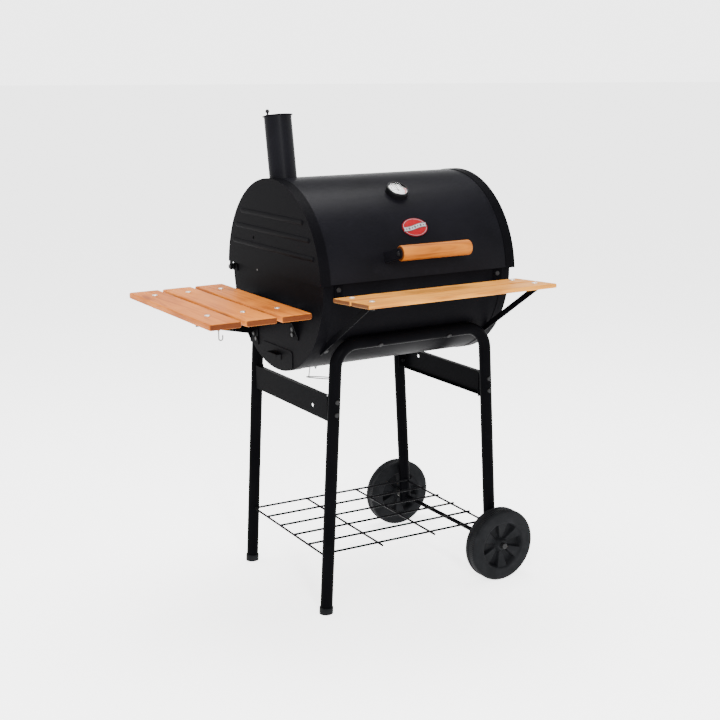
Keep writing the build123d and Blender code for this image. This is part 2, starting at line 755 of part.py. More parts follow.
def body_cap(side):
    """A pressed end of the body: plate, outer band and the fixed hinge tab."""
    face = BODY_HALF - SHEET
    cap = along_x(side * face, side * BODY_HALF, BODY_Z, BODY_LIP_R)
    band = along_x(side * (BODY_HALF - BODY_BAND), side * face, BODY_Z, BODY_LIP_R)
    band -= along_x(side * (BODY_HALF - BODY_BAND), side * face, BODY_Z, BODY_R)
    cap = cap + band - above(BODY_CAP_EDGE_Z)
    low, high = side * BODY_HALF, side * (BODY_HALF + HINGE_TAB)
    strap = block((low, high), (HINGE_Y - 3 * HINGE_EYE_R, HINGE_Y), (HINGE_Z - HINGE_EYE_R, HINGE_Z + HINGE_EYE_R))
    cap = cap + hinge_eye(low, high) + strap - hinge_bore(side)
    foot_y = (WARM_NEAR_Y + WARM_FAR_Y) / 2
    cap -= rod((0, foot_y, WARM_FOOT_Z), (side * BIG, foot_y, WARM_FOOT_Z), WARM_FRAME_R + HOLE_GAP)
    return cap


def damper_ports():
    """Places of the air holes about the damper's middle, as (y, z)."""
    turns = [math.radians(90 + 360 / DAMPER_PORTS * i) for i in range(DAMPER_PORTS)]
    return [(DAMPER_PORT_PCD_R * math.cos(t), DAMPER_Z + DAMPER_PORT_PCD_R * math.sin(t)) for t in turns]


def body_left_cap():
    """The end with the ash drawer's mouth and the side shelf's bolt holes."""
    mouth = block((-BIG, 0), (-TRAY_HALF_Y - 4, TRAY_HALF_Y + 4), (TRAY_LOW_Z - AIR, TRAY_TOP_Z + 4))
    return drilled(body_cap(-1) - mouth, side_wall_bolts())


def body_right_cap():
    """The end with the air holes."""
    cap = body_cap(1)
    for y, z in damper_ports():
        cap -= rod((0, y, z), (BIG, y, z), DAMPER_PORT_R)
    return cap - rod((0, 0, DAMPER_Z), (BIG, 0, DAMPER_Z), BOLT_R + HOLE_GAP)


def damper_plate():
    """The turning disc over the air holes, with an ear to push."""
    low, high = BODY_HALF + AIR, BODY_HALF + AIR + SHEET
    disc = rod((low, 0, DAMPER_Z), (high, 0, DAMPER_Z), DAMPER_R)
    ear_low = DAMPER_Z + DAMPER_R - 6
    ear = block((low, high), (-DAMPER_EAR / 2, DAMPER_EAR / 2), (ear_low, ear_low + DAMPER_EAR + SHEET))
    lip_low = ear_low + DAMPER_EAR
    ear += block((low, high + DAMPER_EAR), (-DAMPER_EAR / 2, DAMPER_EAR / 2), (lip_low, lip_low + SHEET))
    for y, z in damper_ports():
        disc -= rod((low - 1, y, z), (high + 1, y, z), DAMPER_PORT_R - 1)
    return disc + ear - rod((0, 0, DAMPER_Z), (BIG, 0, DAMPER_Z), BOLT_R + FIT)


def damper_bolt():
    """The bolt that the damper turns on."""
    seat = (BODY_HALF + 2 * AIR + SHEET, 0, DAMPER_Z)
    return bolt(seat, (-1, 0, 0), 2 * SHEET + 2 * AIR + 2 * FIT)


def grate_rails():
    """Angle rails along the front and rear walls that carry the cooking grates."""
    rails = []
    for side in (-1, 1):
        inner = GRATE_RAIL_IN
        web = block((-RAIL_HALF, RAIL_HALF), (side * inner, side * (inner + RAIL_SHEET)),
                    (GRATE_LOW_Z - RAIL_TALL, ARM_BOLT_Z + BOLT_HEAD_R))
        ledge = block((-RAIL_HALF, RAIL_HALF), (side * inner, side * (inner - RAIL_DEEP)),
                      (GRATE_LOW_Z - AIR - RAIL_SHEET, GRATE_LOW_Z - AIR))
        rails.append(drilled(web + ledge, rail_bolts()))
    return rails


def grate_span(i):
    """Low and high X of one cooking grate."""
    pitch = GRATE_WIDE + GRATE_GAP
    middle = (i - (GRATES - 1) / 2) * pitch
    return middle - GRATE_WIDE / 2, middle + GRATE_WIDE / 2


def barred(x, y, z, frame, bars, bar, cross):
    """A flat grate: a frame with bars along Y, and one bar across the middle."""
    grate = block(x, y, z)
    pitch = (x[1] - x[0] - 2 * frame + bar) / (bars + 1)
    for i in range(bars + 1):
        low = x[0] + frame + i * pitch
        for half in (-1, 1):
            a, b = half * cross / 2, half * (y[1] - frame)
            grate -= block((low, low + pitch - bar), (a, b), (z[0] - 1, z[1] + 1))
    return grate


def cooking_grate(i):
    """One cast grate."""
    z = (GRATE_LOW_Z, GRATE_LOW_Z + GRATE_THICK)
    return barred(grate_span(i), (-GRATE_HALF_Y, GRATE_HALF_Y), z, GRATE_FRAME, GRATE_BARS, GRATE_BAR, GRATE_CROSS)


def fire_grate():
    """The charcoal grate low in the barrel."""
    z = (FIRE_Z, FIRE_Z + FIRE_THICK)
    x = (-FIRE_HALF_X, FIRE_HALF_X)
    return barred(x, (-FIRE_HALF_Y, FIRE_HALF_Y), z, GRATE_FRAME, FIRE_BARS, FIRE_BAR, GRATE_CROSS)


def fire_grate_rails():
    """Ledges on the lower walls under the charcoal grate."""
    rails = []
    for side in (-1, 1):
        near, top = side * (FIRE_HALF_Y - RAIL_TALL), FIRE_Z - AIR
        ledge = block((-FIRE_HALF_X, FIRE_HALF_X), (near, near + side * FIRE_RAIL_DEEP), (top - RAIL_SHEET, top))
        lip = block((-FIRE_HALF_X, FIRE_HALF_X), (near, near + side * RAIL_SHEET), (top - RAIL_TALL, top))
        rail = (ledge + lip) & along_x(-FIRE_HALF_X, FIRE_HALF_X, BODY_Z, BODY_IN_R - FIT)
        rails.append(rail)
    return rails


def warming_rack():
    """Wire rack over the cooking grates, hung on the ends of the body."""
    rack = rod((-WARM_HALF, WARM_NEAR_Y, WARM_Z), (WARM_HALF, WARM_NEAR_Y, WARM_Z), WARM_FRAME_R)
    rack += rod((-WARM_HALF, WARM_FAR_Y, WARM_Z), (WARM_HALF, WARM_FAR_Y, WARM_Z), WARM_FRAME_R)
    pitch = (WARM_FAR_Y - WARM_NEAR_Y) / (WARM_WIRES + 1)
    for i in range(WARM_WIRES):
        y = WARM_NEAR_Y + (i + 1) * pitch
        rack += rod((-WARM_HALF, y, WARM_Z), (WARM_HALF, y, WARM_Z), WARM_WIRE_R)
    foot_y = (WARM_NEAR_Y + WARM_FAR_Y) / 2
    for side in (-1, 1):
        x = side * WARM_HALF
        rack += bent_wire([(x, WARM_NEAR_Y, WARM_Z), (x, WARM_FAR_Y, WARM_Z)], WARM_FRAME_R)
        for y in (WARM_NEAR_Y, WARM_FAR_Y):
            rack += Pos(x, y, WARM_Z) * Sphere(WARM_FRAME_R)
        for y in (foot_y - 3 * pitch, foot_y + 3 * pitch):
            rack += rod((x, y, WARM_Z), (side * WARM_LEG_X, foot_y, WARM_FOOT_Z), WARM_FRAME_R)
        rack += Pos(side * WARM_LEG_X, foot_y, WARM_FOOT_Z) * Sphere(WARM_FRAME_R)
        rack += rod((side * WARM_LEG_X, foot_y, WARM_FOOT_Z), (side * (BODY_HALF - AIR), foot_y, WARM_FOOT_Z), WARM_FRAME_R)
    return rack


def ash_pan():
    """Drawer tray and its front panel, cut to the barrel's round end."""
    face = -BODY_HALF - AIR
    tray = block((face, TRAY_END_X), (-TRAY_HALF_Y, TRAY_HALF_Y), (TRAY_LOW_Z, TRAY_TOP_Z))
    tray -= block((face, TRAY_END_X - TRAY_SHEET), (-TRAY_HALF_Y + TRAY_SHEET, TRAY_HALF_Y - TRAY_SHEET),
                  (TRAY_LOW_Z + TRAY_SHEET, TRAY_TOP_Z + 1))
    panel = block((face - SHEET, face), (PANEL_RIGHT_Y, PANEL_LEFT_Y), (BODY_Z - BODY_R, PANEL_TOP_Z))
    panel = fillet(panel.edges().filter_by(Axis.X).group_by(Axis.Z)[-1], PANEL_CORNER)
    panel &= along_x(face - SHEET, face, BODY_Z, PANEL_R)
    return tray + panel


def ash_pan_handle():
    """Bent pull on the drawer's panel."""
    face = -BODY_HALF - AIR - SHEET
    y = (-PULL_HALF_Y, PULL_HALF_Y)
    back = block((face - SHEET, face), y, (PULL_Z - PULL_TALL / 2, PULL_Z + PULL_TALL / 2))
    lip = block((face - PULL_OUT, face), y, (PULL_Z + PULL_TALL / 2 - SHEET, PULL_Z + PULL_TALL / 2))
    hem = block((face - PULL_OUT, face - PULL_OUT + SHEET), y, (PULL_Z, PULL_Z + PULL_TALL / 2))
    return back + lip + hem


def ash_pan_runners():
    """Two strips on the floor of the barrel that the drawer slides on."""
    strips = []
    for side in (-1, 1):
        y = (side * RUNNER_Y, side * (RUNNER_Y + RUNNER_WIDE))
        strip = block((-TRAY_END_X, TRAY_END_X), y, (0, TRAY_LOW_Z - AIR))
        strips.append(strip & along_x(-TRAY_END_X, TRAY_END_X, BODY_Z, BODY_IN_R - FIT))
    return strips


# ---------------------------------------------------------------- cart frame
def arch(side):
    """One inverted-U tube across the front or rear under the barrel."""
    y = side * LEG_Y
    foot, corner = leg_x(LEG_JOINT_Z), ARCH_CORNER_X
    points = [(-foot, y, LEG_JOINT_Z), (-corner, y, ARCH_Z), (corner, y, ARCH_Z), (foot, y, LEG_JOINT_Z)]
    path = FilletPolyline(*points, radius=ARCH_BEND)
    start = Plane(origin=path @ 0, z_dir=path % 0)
    tube = sweep(start * Circle(TUBE_R), path=path)
    tube -= sweep(start * Circle(TUBE_R - TUBE_WALL), path=path)
    return drilled(tube, arch_bolts() + brace_bolts())


def leg_line(side_x, side_y, z):
    """A point on a leg's centre line."""
    return (side_x * leg_x(z), side_y * LEG_Y, z)


def leg(side_x, side_y):
    """A lower leg tube with the narrowed end that slips into the arch."""
    low_z = FOOT_CAP_FLOOR if side_x < 0 else RIGHT_LEG_END_Z
    low, joint = leg_line(side_x, side_y, low_z), leg_line(side_x, side_y, LEG_JOINT_Z - FIT)
    top = leg_line(side_x, side_y, LEG_JOINT_Z + SPIGOT)
    spigot_r = TUBE_R - TUBE_WALL - FIT
    tube = rod(low, joint, TUBE_R) + rod(joint, top, spigot_r)
    tube -= rod(low, top, spigot_r - TUBE_WALL)
    tube = drilled(tube, brace_bolts())
    if side_x > 0:
        tube -= rod((AXLE_X, -BIG, WHEEL_R), (AXLE_X, BIG, WHEEL_R), AXLE_R + HOLE_GAP)
    for wire in rack_stubs():
        tube -= wire
    return tube


def foot_caps():
    """Plastic caps on the two left legs."""
    caps = []
    for side in (-1, 1):
        cap = rod(leg_line(-1, side, -FOOT_CAP_R), leg_line(-1, side, FOOT_CAP_TALL), FOOT_CAP_R)
        cap -= rod(leg_line(-1, side, FOOT_CAP_FLOOR - FIT), leg_line(-1, side, 2 * FOOT_CAP_TALL), TUBE_R + FIT)
        caps.append(cap - below(0))
    return caps


def brace(side):
    """A pressed end brace: web with a top and a bottom lip and a tab on each leg."""
    face, out = BRACE_X, BRACE_X - BRACE_THICK
    inner_y = LEG_Y - TUBE_R - FIT
    x = (side * face, side * out)
    lip_x = (side * face, side * (face - BRACE_LIP))
    y, lip_y = (-inner_y, inner_y), (-inner_y + BRACE_TAB / 2, inner_y - BRACE_TAB / 2)
    plate = block(x, y, (BRACE_LOW_Z, BRACE_TOP_Z))
    plate += block(lip_x, lip_y, (BRACE_TOP_Z - BRACE_THICK, BRACE_TOP_Z))
    plate += block(lip_x, lip_y, (BRACE_LOW_Z, BRACE_LOW_Z + BRACE_THICK))
    for end in (-1, 1):
        tab_y = (end * inner_y, end * (inner_y - BRACE_THICK))
        plate += block((side * face, side * (face - BRACE_TAB)), tab_y, (BRACE_LOW_Z, BRACE_TOP_Z))
    hole_y = -123.0 if side < 0 else 126.0
    hole_z = 534.0 if side < 0 else 555.0
    plate -= rod((side * out / 2, hole_y, hole_z), (side * BIG, hole_y, hole_z), BRACE_HOLE_R)
    return drilled(plate, brace_bolts())


def axle():
    """The steel rod through the two right legs and both wheels."""
    return rod((AXLE_X, -AXLE_END + SHEET, WHEEL_R), (AXLE_X, AXLE_END - SHEET, WHEEL_R), AXLE_R)


def axle_caps():
    """Push-on caps outside the wheels."""
    caps = []
    for side in (-1, 1):
        low = side * ((WHEEL_IN + WHEEL_OUT + HUB_WIDE) / 2 + AIR)
        cap = rod((AXLE_X, low, WHEEL_R), (AXLE_X, side * AXLE_END, WHEEL_R), AXLE_NUT_R)
        cap = fillet(cap.edges().group_by(Axis.Y)[-1 if side > 0 else 0], SHEET)
        caps.append(cap - rod((AXLE_X, 0, WHEEL_R), (AXLE_X, side * (AXLE_END - SHEET), WHEEL_R), AXLE_R))
    return caps


def axle_washers():
    """Spacers between the legs and the wheels."""
    rings = []
    for side in (-1, 1):
        low, high = side * (LEG_Y + TUBE_R + AIR), side * ((WHEEL_IN + WHEEL_OUT - HUB_WIDE) / 2 - AIR)
        rings.append(pipe((AXLE_X, low, WHEEL_R), (AXLE_X, high, WHEEL_R), WASHER_R, AXLE_R + FIT))
    return rings


def spoke_pocket(turn, low, high):
    """One rounded wedge between two spokes, drawn about the Z axis."""
    wedge = Cylinder(SPOKE_OUT_R, high - low) - Cylinder(SPOKE_IN_R, high - low)
    reach = 2 * WHEEL_R
    spread = math.radians(SPOKE_HALF_ANGLE)
    tip = (0, 0, -(high - low) / 2)
    left = (reach * math.cos(spread), reach * math.sin(spread), tip[2])
    right = (left[0], -left[1], tip[2])
    wedge &= slab([tip, left, right], (0, 0, 1), high - low)
    wedge = fillet(wedge.edges().filter_by(Axis.Z), HOLE_GAP * 20)
    return Rot(0, 0, turn) * Pos(0, 0, (low + high) / 2) * wedge


def wheel(side):
    """A moulded wheel with six pockets on each face and a sunken hub face."""
    wide = WHEEL_OUT - WHEEL_IN
    tyre = fillet(Cylinder(WHEEL_R, wide).edges(), WHEEL_EDGE)
    dish = Cylinder(SPOKE_OUT_R + 5, WHEEL_EDGE)
    for end in (-1, 1):
        tyre -= Pos(0, 0, end * wide / 2) * dish
    for i in range(SPOKES):
        turn = 360 / SPOKES * i
        tyre -= spoke_pocket(turn, WHEEL_WEB / 2, wide)
        tyre -= spoke_pocket(turn, -wide, -WHEEL_WEB / 2)
    tyre += Cylinder(HUB_R, HUB_WIDE)
    tyre -= Cylinder(AXLE_R + FIT, 2 * wide)
    middle = side * (WHEEL_IN + WHEEL_OUT) / 2
    return Pos(AXLE_X, middle, WHEEL_R) * Rot(-90, 0, 0) * tyre


# ---------------------------------------------------------------- wire rack
RACK_PLACE = Pos(0, 0, RACK_Z) * Rot(0, RACK_TILT_X, 0) * Rot(RACK_TILT_Y, 0, 0)


def storage_rack():
    """Long wires on cross wires; the end cross wires reach into the legs."""
    rack = None
    ends = (RACK_CROSS_XS[0], RACK_CROSS_XS[-1])
    for x in RACK_CROSS_XS:
        reach = RACK_STUB_Y if x in ends else RACK_HALF_Y + RACK_OVERHANG
        wire = rod((x, -reach, 0), (x, reach, 0), RACK_WIRE_R)
        rack = wire if rack is None else rack + wire
    for i in range(RACK_LONG_WIRES):
        y = -RACK_HALF_Y + i * 2 * RACK_HALF_Y / (RACK_LONG_WIRES - 1)
        z = 1.6 * RACK_WIRE_R
        rack += rod((ends[0] - RACK_WIRE_R, y, z), (ends[1] + RACK_WIRE_R, y, z), RACK_WIRE_R)
    return RACK_PLACE * rack


def rack_stubs():
    """The holes that the end cross wires need in the legs."""
    holes = []
    for x in (RACK_CROSS_XS[0], RACK_CROSS_XS[-1]):
        holes.append(RACK_PLACE * rod((x, -RACK_STUB_Y - 2, 0), (x, RACK_STUB_Y + 2, 0), RACK_WIRE_R + HOLE_GAP))
    return holes


# ---------------------------------------------------------------- shelves
def front_slat(inner):
    """One of the two boards across the front, in the tilted shelf's frame."""
    wide = (FRONT_DEEP - FRONT_GAP) / 2
    near = 0.0 if inner else -(wide + FRONT_GAP)
    board = block((-FRONT_HALF, FRONT_HALF), (near - wide, near), (-SLAT_THICK, 0))
    board = fillet(board.edges(), SLAT_EDGE)
    return drilled(FRONT_SHELF * board, front_slat_bolts())


def front_shelf_arms():
    """Flat arms under the front shelf, a small lip inside and a bent foot on the barrel."""
    arms = []
    for side in (-1, 1):
        x_in, x_out = side * (ARM_X - ARM_HALF), side * (ARM_X + ARM_HALF)
        low = -SLAT_THICK - FIT
        reach = -FRONT_BACK_Y - BODY_R - 3 * FIT
        flat = block((x_in, x_out), (-ARM_TIP, reach - ARM_SHEET / 2), (low - ARM_SHEET, low))
        lip = block((x_in, x_in + side * ARM_SHEET), (-ARM_TIP, reach - ARM_SHEET / 2), (low - ARM_LIP, low))
        arm = FRONT_SHELF * (flat + lip)
        foot_y = (-BODY_R - ARM_SHEET - 2 * FIT, -BODY_R - 2 * FIT)
        low_z = FRONT_BACK_Z - SLAT_THICK - ARM_LIP
        foot = block((x_in, x_out), foot_y, (low_z, ARM_TAB_TOP_Z))
        arm = arm - block((-BIG, BIG), (foot_y[0] + ARM_SHEET / 2, BIG), (0, BIG)) + foot
        arms.append(drilled(arm, rail_bolts() + front_slat_bolts()))
    return arms


def strut_bar(side, foot):
    """The sloping flat of one strut, a little too long at both ends."""
    x_in = side * (STRUT_X - STRUT_THICK / 2)
    way = Vector(0, foot[1] - STRUT_TOP_Y, foot[2] - STRUT_TOP_Z).normalized()
    across = Vector(0, -way.Z, way.Y) * (STRUT_WIDE / 2)
    top = Vector(x_in, STRUT_TOP_Y, STRUT_TOP_Z) - way * STRUT_WIDE
    end = Vector(x_in, foot[1], foot[2]) + way * STRUT_WIDE
    corners = [tuple(top + across), tuple(end + across), tuple(end - across), tuple(top - across)]
    return slab(corners, (side, 0, 0), STRUT_THICK)


def front_shelf_struts():
    """Diagonal flat bars from the arms down to the barrel, with both ends bent flat."""
    struts = []
    foot = spot(STRUT_FOOT_ANGLE, BODY_R, STRUT_X, BODY_Z)
    for side in (-1, 1):
        tab_top = -SLAT_THICK - ARM_SHEET - 2 * FIT
        x = (side * STRUT_TAB_IN_X, side * (STRUT_X + STRUT_THICK / 2))
        tab = block(x, (-STRUT_TAB_DEPTHS[1], -STRUT_TAB_DEPTHS[0]), (tab_top - STRUT_THICK, tab_top))
        over = block((-BIG, BIG), (-BIG, BIG), (tab_top, BIG))
        beyond = block((-BIG, BIG), (-BIG, -STRUT_TAB_DEPTHS[1]), (-BIG, BIG))
        bar = strut_bar(side, foot) - FRONT_SHELF * over - FRONT_SHELF * beyond
        seat = Pos(0, 0, BODY_Z - HOOD_Z) * hood_place(STRUT_FOOT_ANGLE)
        pad_x = side * (STRUT_X + STRUT_THICK / 2 - STRUT_FOOT_WIDE / 2)
        pad = Pos(pad_x, 0, BODY_R + 4 * FIT + STRUT_THICK / 2) * Box(STRUT_FOOT_WIDE, STRUT_FOOT, STRUT_THICK)
        bar = bar - along_x(-BODY_HALF, BODY_HALF, BODY_Z, BODY_R + 8 * FIT) + seat * pad
        bar = bar + FRONT_SHELF * tab
        struts.append(drilled(bar, strut_bolts() + front_slat_bolts()))
    return struts


def front_shelf_bolts():
    """Every bolt of the front shelf: slats, struts and the grate rails' bolts."""
    bolts = []
    for seat, way, grip in front_slat_bolts():
        bolts.append(bolt(seat, way, grip, head_r=CARRIAGE_HEAD_R, head=CARRIAGE_HEAD))
    for seat, way, grip in strut_bolts() + rail_bolts():
        bolts.append(bolt(seat, way, grip))
    return bolts


def side_slat(i):
    """One board of the side shelf, running front to back."""
    low, high = side_slat_spans()[i]
    board = block((low, high), (SIDE_FRONT, SIDE_BACK), (SIDE_TOP_Z - SIDE_THICK, SIDE_TOP_Z))
    board = fillet(board.edges().filter_by(Axis.Z), SIDE_CORNER)
    board = fillet(board.edges().group_by(Axis.Z)[-1] + board.edges().group_by(Axis.Z)[0], SLAT_EDGE)
    hook_x = HOOK_X - HOOK_BEND_R
    board -= rod((hook_x, HOOK_Y, 0), (hook_x, HOOK_Y, SIDE_TOP_Z - 2 * HOOK_BEND_R), HOOK_WIRE_R + HOLE_GAP)
    return drilled(board, side_slat_bolts())


def bracket(web_y, side, outline, wall_low):
    """A pressed bracket: web, a top lip outwards and a wall foot inwards."""
    top = SIDE_TOP_Z - SIDE_THICK - FIT
    points = [(x, web_y, z) for x, z in outline]
    web = slab(points, (0, side, 0), BRACKET_SHEET)
    root = outline[0][0]
    lip_y = (web_y, web_y + side * BRACKET_LIP)
    lip = block((SIDE_IN + BRACKET_SHEET, BRACKET_TIP), lip_y, (top - BRACKET_SHEET, top))
    foot_y = (web_y + side * BRACKET_SHEET, web_y - side * BRACKET_WALL)
    foot = block((root, root - BRACKET_SHEET), foot_y, (wall_low, top))
    return web + lip + foot


def side_shelf_brackets():
    """The two brackets that hold the side shelf on the barrel's left end."""
    root = -BODY_HALF - FIT
    top = SIDE_TOP_Z - SIDE_THICK - FIT
    rear = [(root, top), (BRACKET_TIP, top), (BRACKET_TIP, REAR_TIP_Z), (REAR_KNEE_X, REAR_KNEE_Z),
            (root - BRACKET_LIP / 4, REAR_HEEL_Z), (root, REAR_LOW_Z)]
    front = [(root, top), (BRACKET_TIP, top), (BRACKET_TIP, FRONT_TIP_Z),
             (root - BRACKET_LIP / 2, FRONT_HEEL_Z), (root, FRONT_LOW_Z)]
    pair = [bracket(REAR_WEB_Y, 1, rear, REAR_LOW_Z), bracket(FRONT_WEB_Y, -1, front, FRONT_LOW_Z)]
    return [drilled(piece, side_slat_bolts() + side_wall_bolts()) for piece in pair]


def side_shelf_bolts():
    """Carriage bolts in the slats and the bolts into the barrel's end."""
    bolts = []
    for seat, way, grip in side_slat_bolts():
        bolts.append(bolt(seat, way, grip, head_r=CARRIAGE_HEAD_R, head=CARRIAGE_HEAD))
    for seat, way, grip in side_wall_bolts():
        bolts.append(bolt(seat, way, grip))
    return bolts


def utensil_hook():
    """A wire hook screwed up into the outer slat."""
    shank, tip = HOOK_X - HOOK_BEND_R, HOOK_X + HOOK_BEND_R
    top = SIDE_TOP_Z - 3 * HOOK_BEND_R + HOOK_BEND_R / 2
    low = SIDE_TOP_Z - SIDE_THICK - HOOK_DROP
    points = [(shank, HOOK_Y, top), (shank, HOOK_Y, low), (tip, HOOK_Y, low), (tip, HOOK_Y, HOOK_TIP_Z)]
    hook = swept_wire(points, HOOK_BEND_R - AIR, HOOK_WIRE_R)
    collar_z = SIDE_TOP_Z - SIDE_THICK - FIT
    return hook + rod((shank, HOOK_Y, collar_z), (shank, HOOK_Y, collar_z - SHEET), 2 * HOOK_WIRE_R)


def can_ring_place():
    """Where the can's ring hangs, a little out of level."""
    return Pos(CAN_X, CAN_Y, CAN_Z) * Rot(CAN_LEAN[0], CAN_LEAN[1], 0)


def can_hook_points(side):
    """The wire at one side: up through the floor, back out, a sprung bend and in again."""
    floor_z = BODY_Z - math.sqrt(BODY_IN_R ** 2 - CAN_Y ** 2)
    start = (can_ring_place() * Pos(side * CAN_R, 0, 0)).position
    rest = [(CAN_X + side * (CAN_R - inset), CAN_Y, floor_z + rise) for inset, rise in CAN_HOOK]
    return [tuple(start)] + rest


def drip_can_holder():
    """A wire ring for a can under the barrel, hung on a sprung hook at each side."""
    ring = can_ring_place() * Rot(0, 0, 45) * Torus(CAN_R, CAN_WIRE_R)
    for side in (-1, 1):
        points = can_hook_points(side)
        ring = ring + Pos(*points[0]) * Sphere(CAN_KNOT_R)
        ring = ring + bent_wire(points, CAN_WIRE_R)
    return ring


# ---------------------------------------------------------------- every node
def main():
    os.makedirs("parts", exist_ok=True)
    save("hood_shell", hood_shell())
    save("hood_left_cap", hood_cap(-1))
    save("hood_right_cap", hood_cap(1))
    save("hinge_bolts", hinge_bolts())
    save("stack_tube", stack_tube())
    save("stack_flange", stack_flange())
    save("stack_flap", stack_flap())
    save("stack_flap_knob", stack_flap_knob())
    save("gauge_case", gauge_case())
    save("gauge_dial", gauge_dial())
    save("gauge_needle", gauge_needle())
    save("gauge_glass", gauge_glass())
    save("badge_plate", badge_plate())
    save("handle_grip", handle_grip())
    save("handle_arms", handle_arms())
    save("handle_screws", handle_screws())
    save("body_shell", body_shell())
    save("body_left_cap", body_left_cap())
    save("body_right_cap", body_right_cap())
    save("damper_plate", damper_plate())
    save("damper_bolt", damper_bolt())
    save("grate_rails", grate_rails())
    for i, place in enumerate(("left", "middle", "right")):
        save(f"cooking_grate_{place}", cooking_grate(i))
    save("fire_grate", fire_grate())
    save("fire_grate_rails", fire_grate_rails())
    save("warming_rack", warming_rack())
    save("ash_pan", ash_pan())
    save("ash_pan_handle", ash_pan_handle())
    save("ash_pan_runners", ash_pan_runners())
    save("front_arch", arch(-1))
    save("rear_arch", arch(1))
    for side_y, end in ((-1, "front"), (1, "rear")):
        save(f"leg_left_{end}", leg(-1, side_y))
        save(f"leg_right_{end}", leg(1, side_y))
        save(f"wheel_{end}", wheel(side_y))
    save("foot_caps", foot_caps())
    save("brace_left", brace(-1))
    save("brace_right", brace(1))
    save("arch_bolts", [bolt(*place) for place in arch_bolts()])
    save("brace_bolts", [bolt(*place) for place in brace_bolts()])
    save("axle", axle())
    save("axle_caps", axle_caps())
    save("axle_washers", axle_washers())
    save("storage_rack", storage_rack())
    save("front_slat_inner", front_slat(True))
    save("front_slat_outer", front_slat(False))
    save("front_shelf_arms", front_shelf_arms())
    save("front_shelf_struts", front_shelf_struts())
    save("front_shelf_bolts", front_shelf_bolts())
    for i, place in enumerate(("outer", "middle", "inner")):
        save(f"side_slat_{place}", side_slat(i))
    save("side_shelf_brackets", side_shelf_brackets())
    save("side_shelf_bolts", side_shelf_bolts())
    save("utensil_hook", utensil_hook())
    save("drip_can_holder", drip_can_holder())


main()
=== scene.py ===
import json
import math
import random

import bmesh
import bpy
from mathutils import Matrix, Vector


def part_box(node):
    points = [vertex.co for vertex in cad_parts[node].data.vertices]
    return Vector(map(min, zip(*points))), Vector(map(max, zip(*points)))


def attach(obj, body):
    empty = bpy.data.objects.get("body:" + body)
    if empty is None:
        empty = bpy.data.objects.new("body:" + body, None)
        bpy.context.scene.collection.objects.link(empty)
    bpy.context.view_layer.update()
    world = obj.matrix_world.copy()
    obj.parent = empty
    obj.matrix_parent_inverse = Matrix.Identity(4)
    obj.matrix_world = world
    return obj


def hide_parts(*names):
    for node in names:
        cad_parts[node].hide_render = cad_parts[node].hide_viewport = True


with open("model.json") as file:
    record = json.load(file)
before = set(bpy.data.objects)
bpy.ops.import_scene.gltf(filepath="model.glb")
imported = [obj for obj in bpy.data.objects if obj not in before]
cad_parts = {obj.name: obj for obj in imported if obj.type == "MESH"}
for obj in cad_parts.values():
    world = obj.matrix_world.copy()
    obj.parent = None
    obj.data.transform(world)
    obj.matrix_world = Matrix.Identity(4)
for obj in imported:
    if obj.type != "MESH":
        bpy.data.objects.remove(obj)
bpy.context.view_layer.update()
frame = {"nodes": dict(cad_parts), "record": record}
nodes = frame["nodes"]
slot_of = {part["node"]: part["material_slot"] for part in frame["record"]["subparts"]}
random.seed(7)

# The barrel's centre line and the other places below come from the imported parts.
MM = 0.001
shell_low, shell_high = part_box("hood_shell")
body_low, body_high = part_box("body_shell")
BARREL_X = (body_low.x + body_high.x) / 2
BARREL_Y = (body_low.y + body_high.y) / 2
HOOD_R = 257.2 * MM
HOOD_Z = shell_high.z - HOOD_R


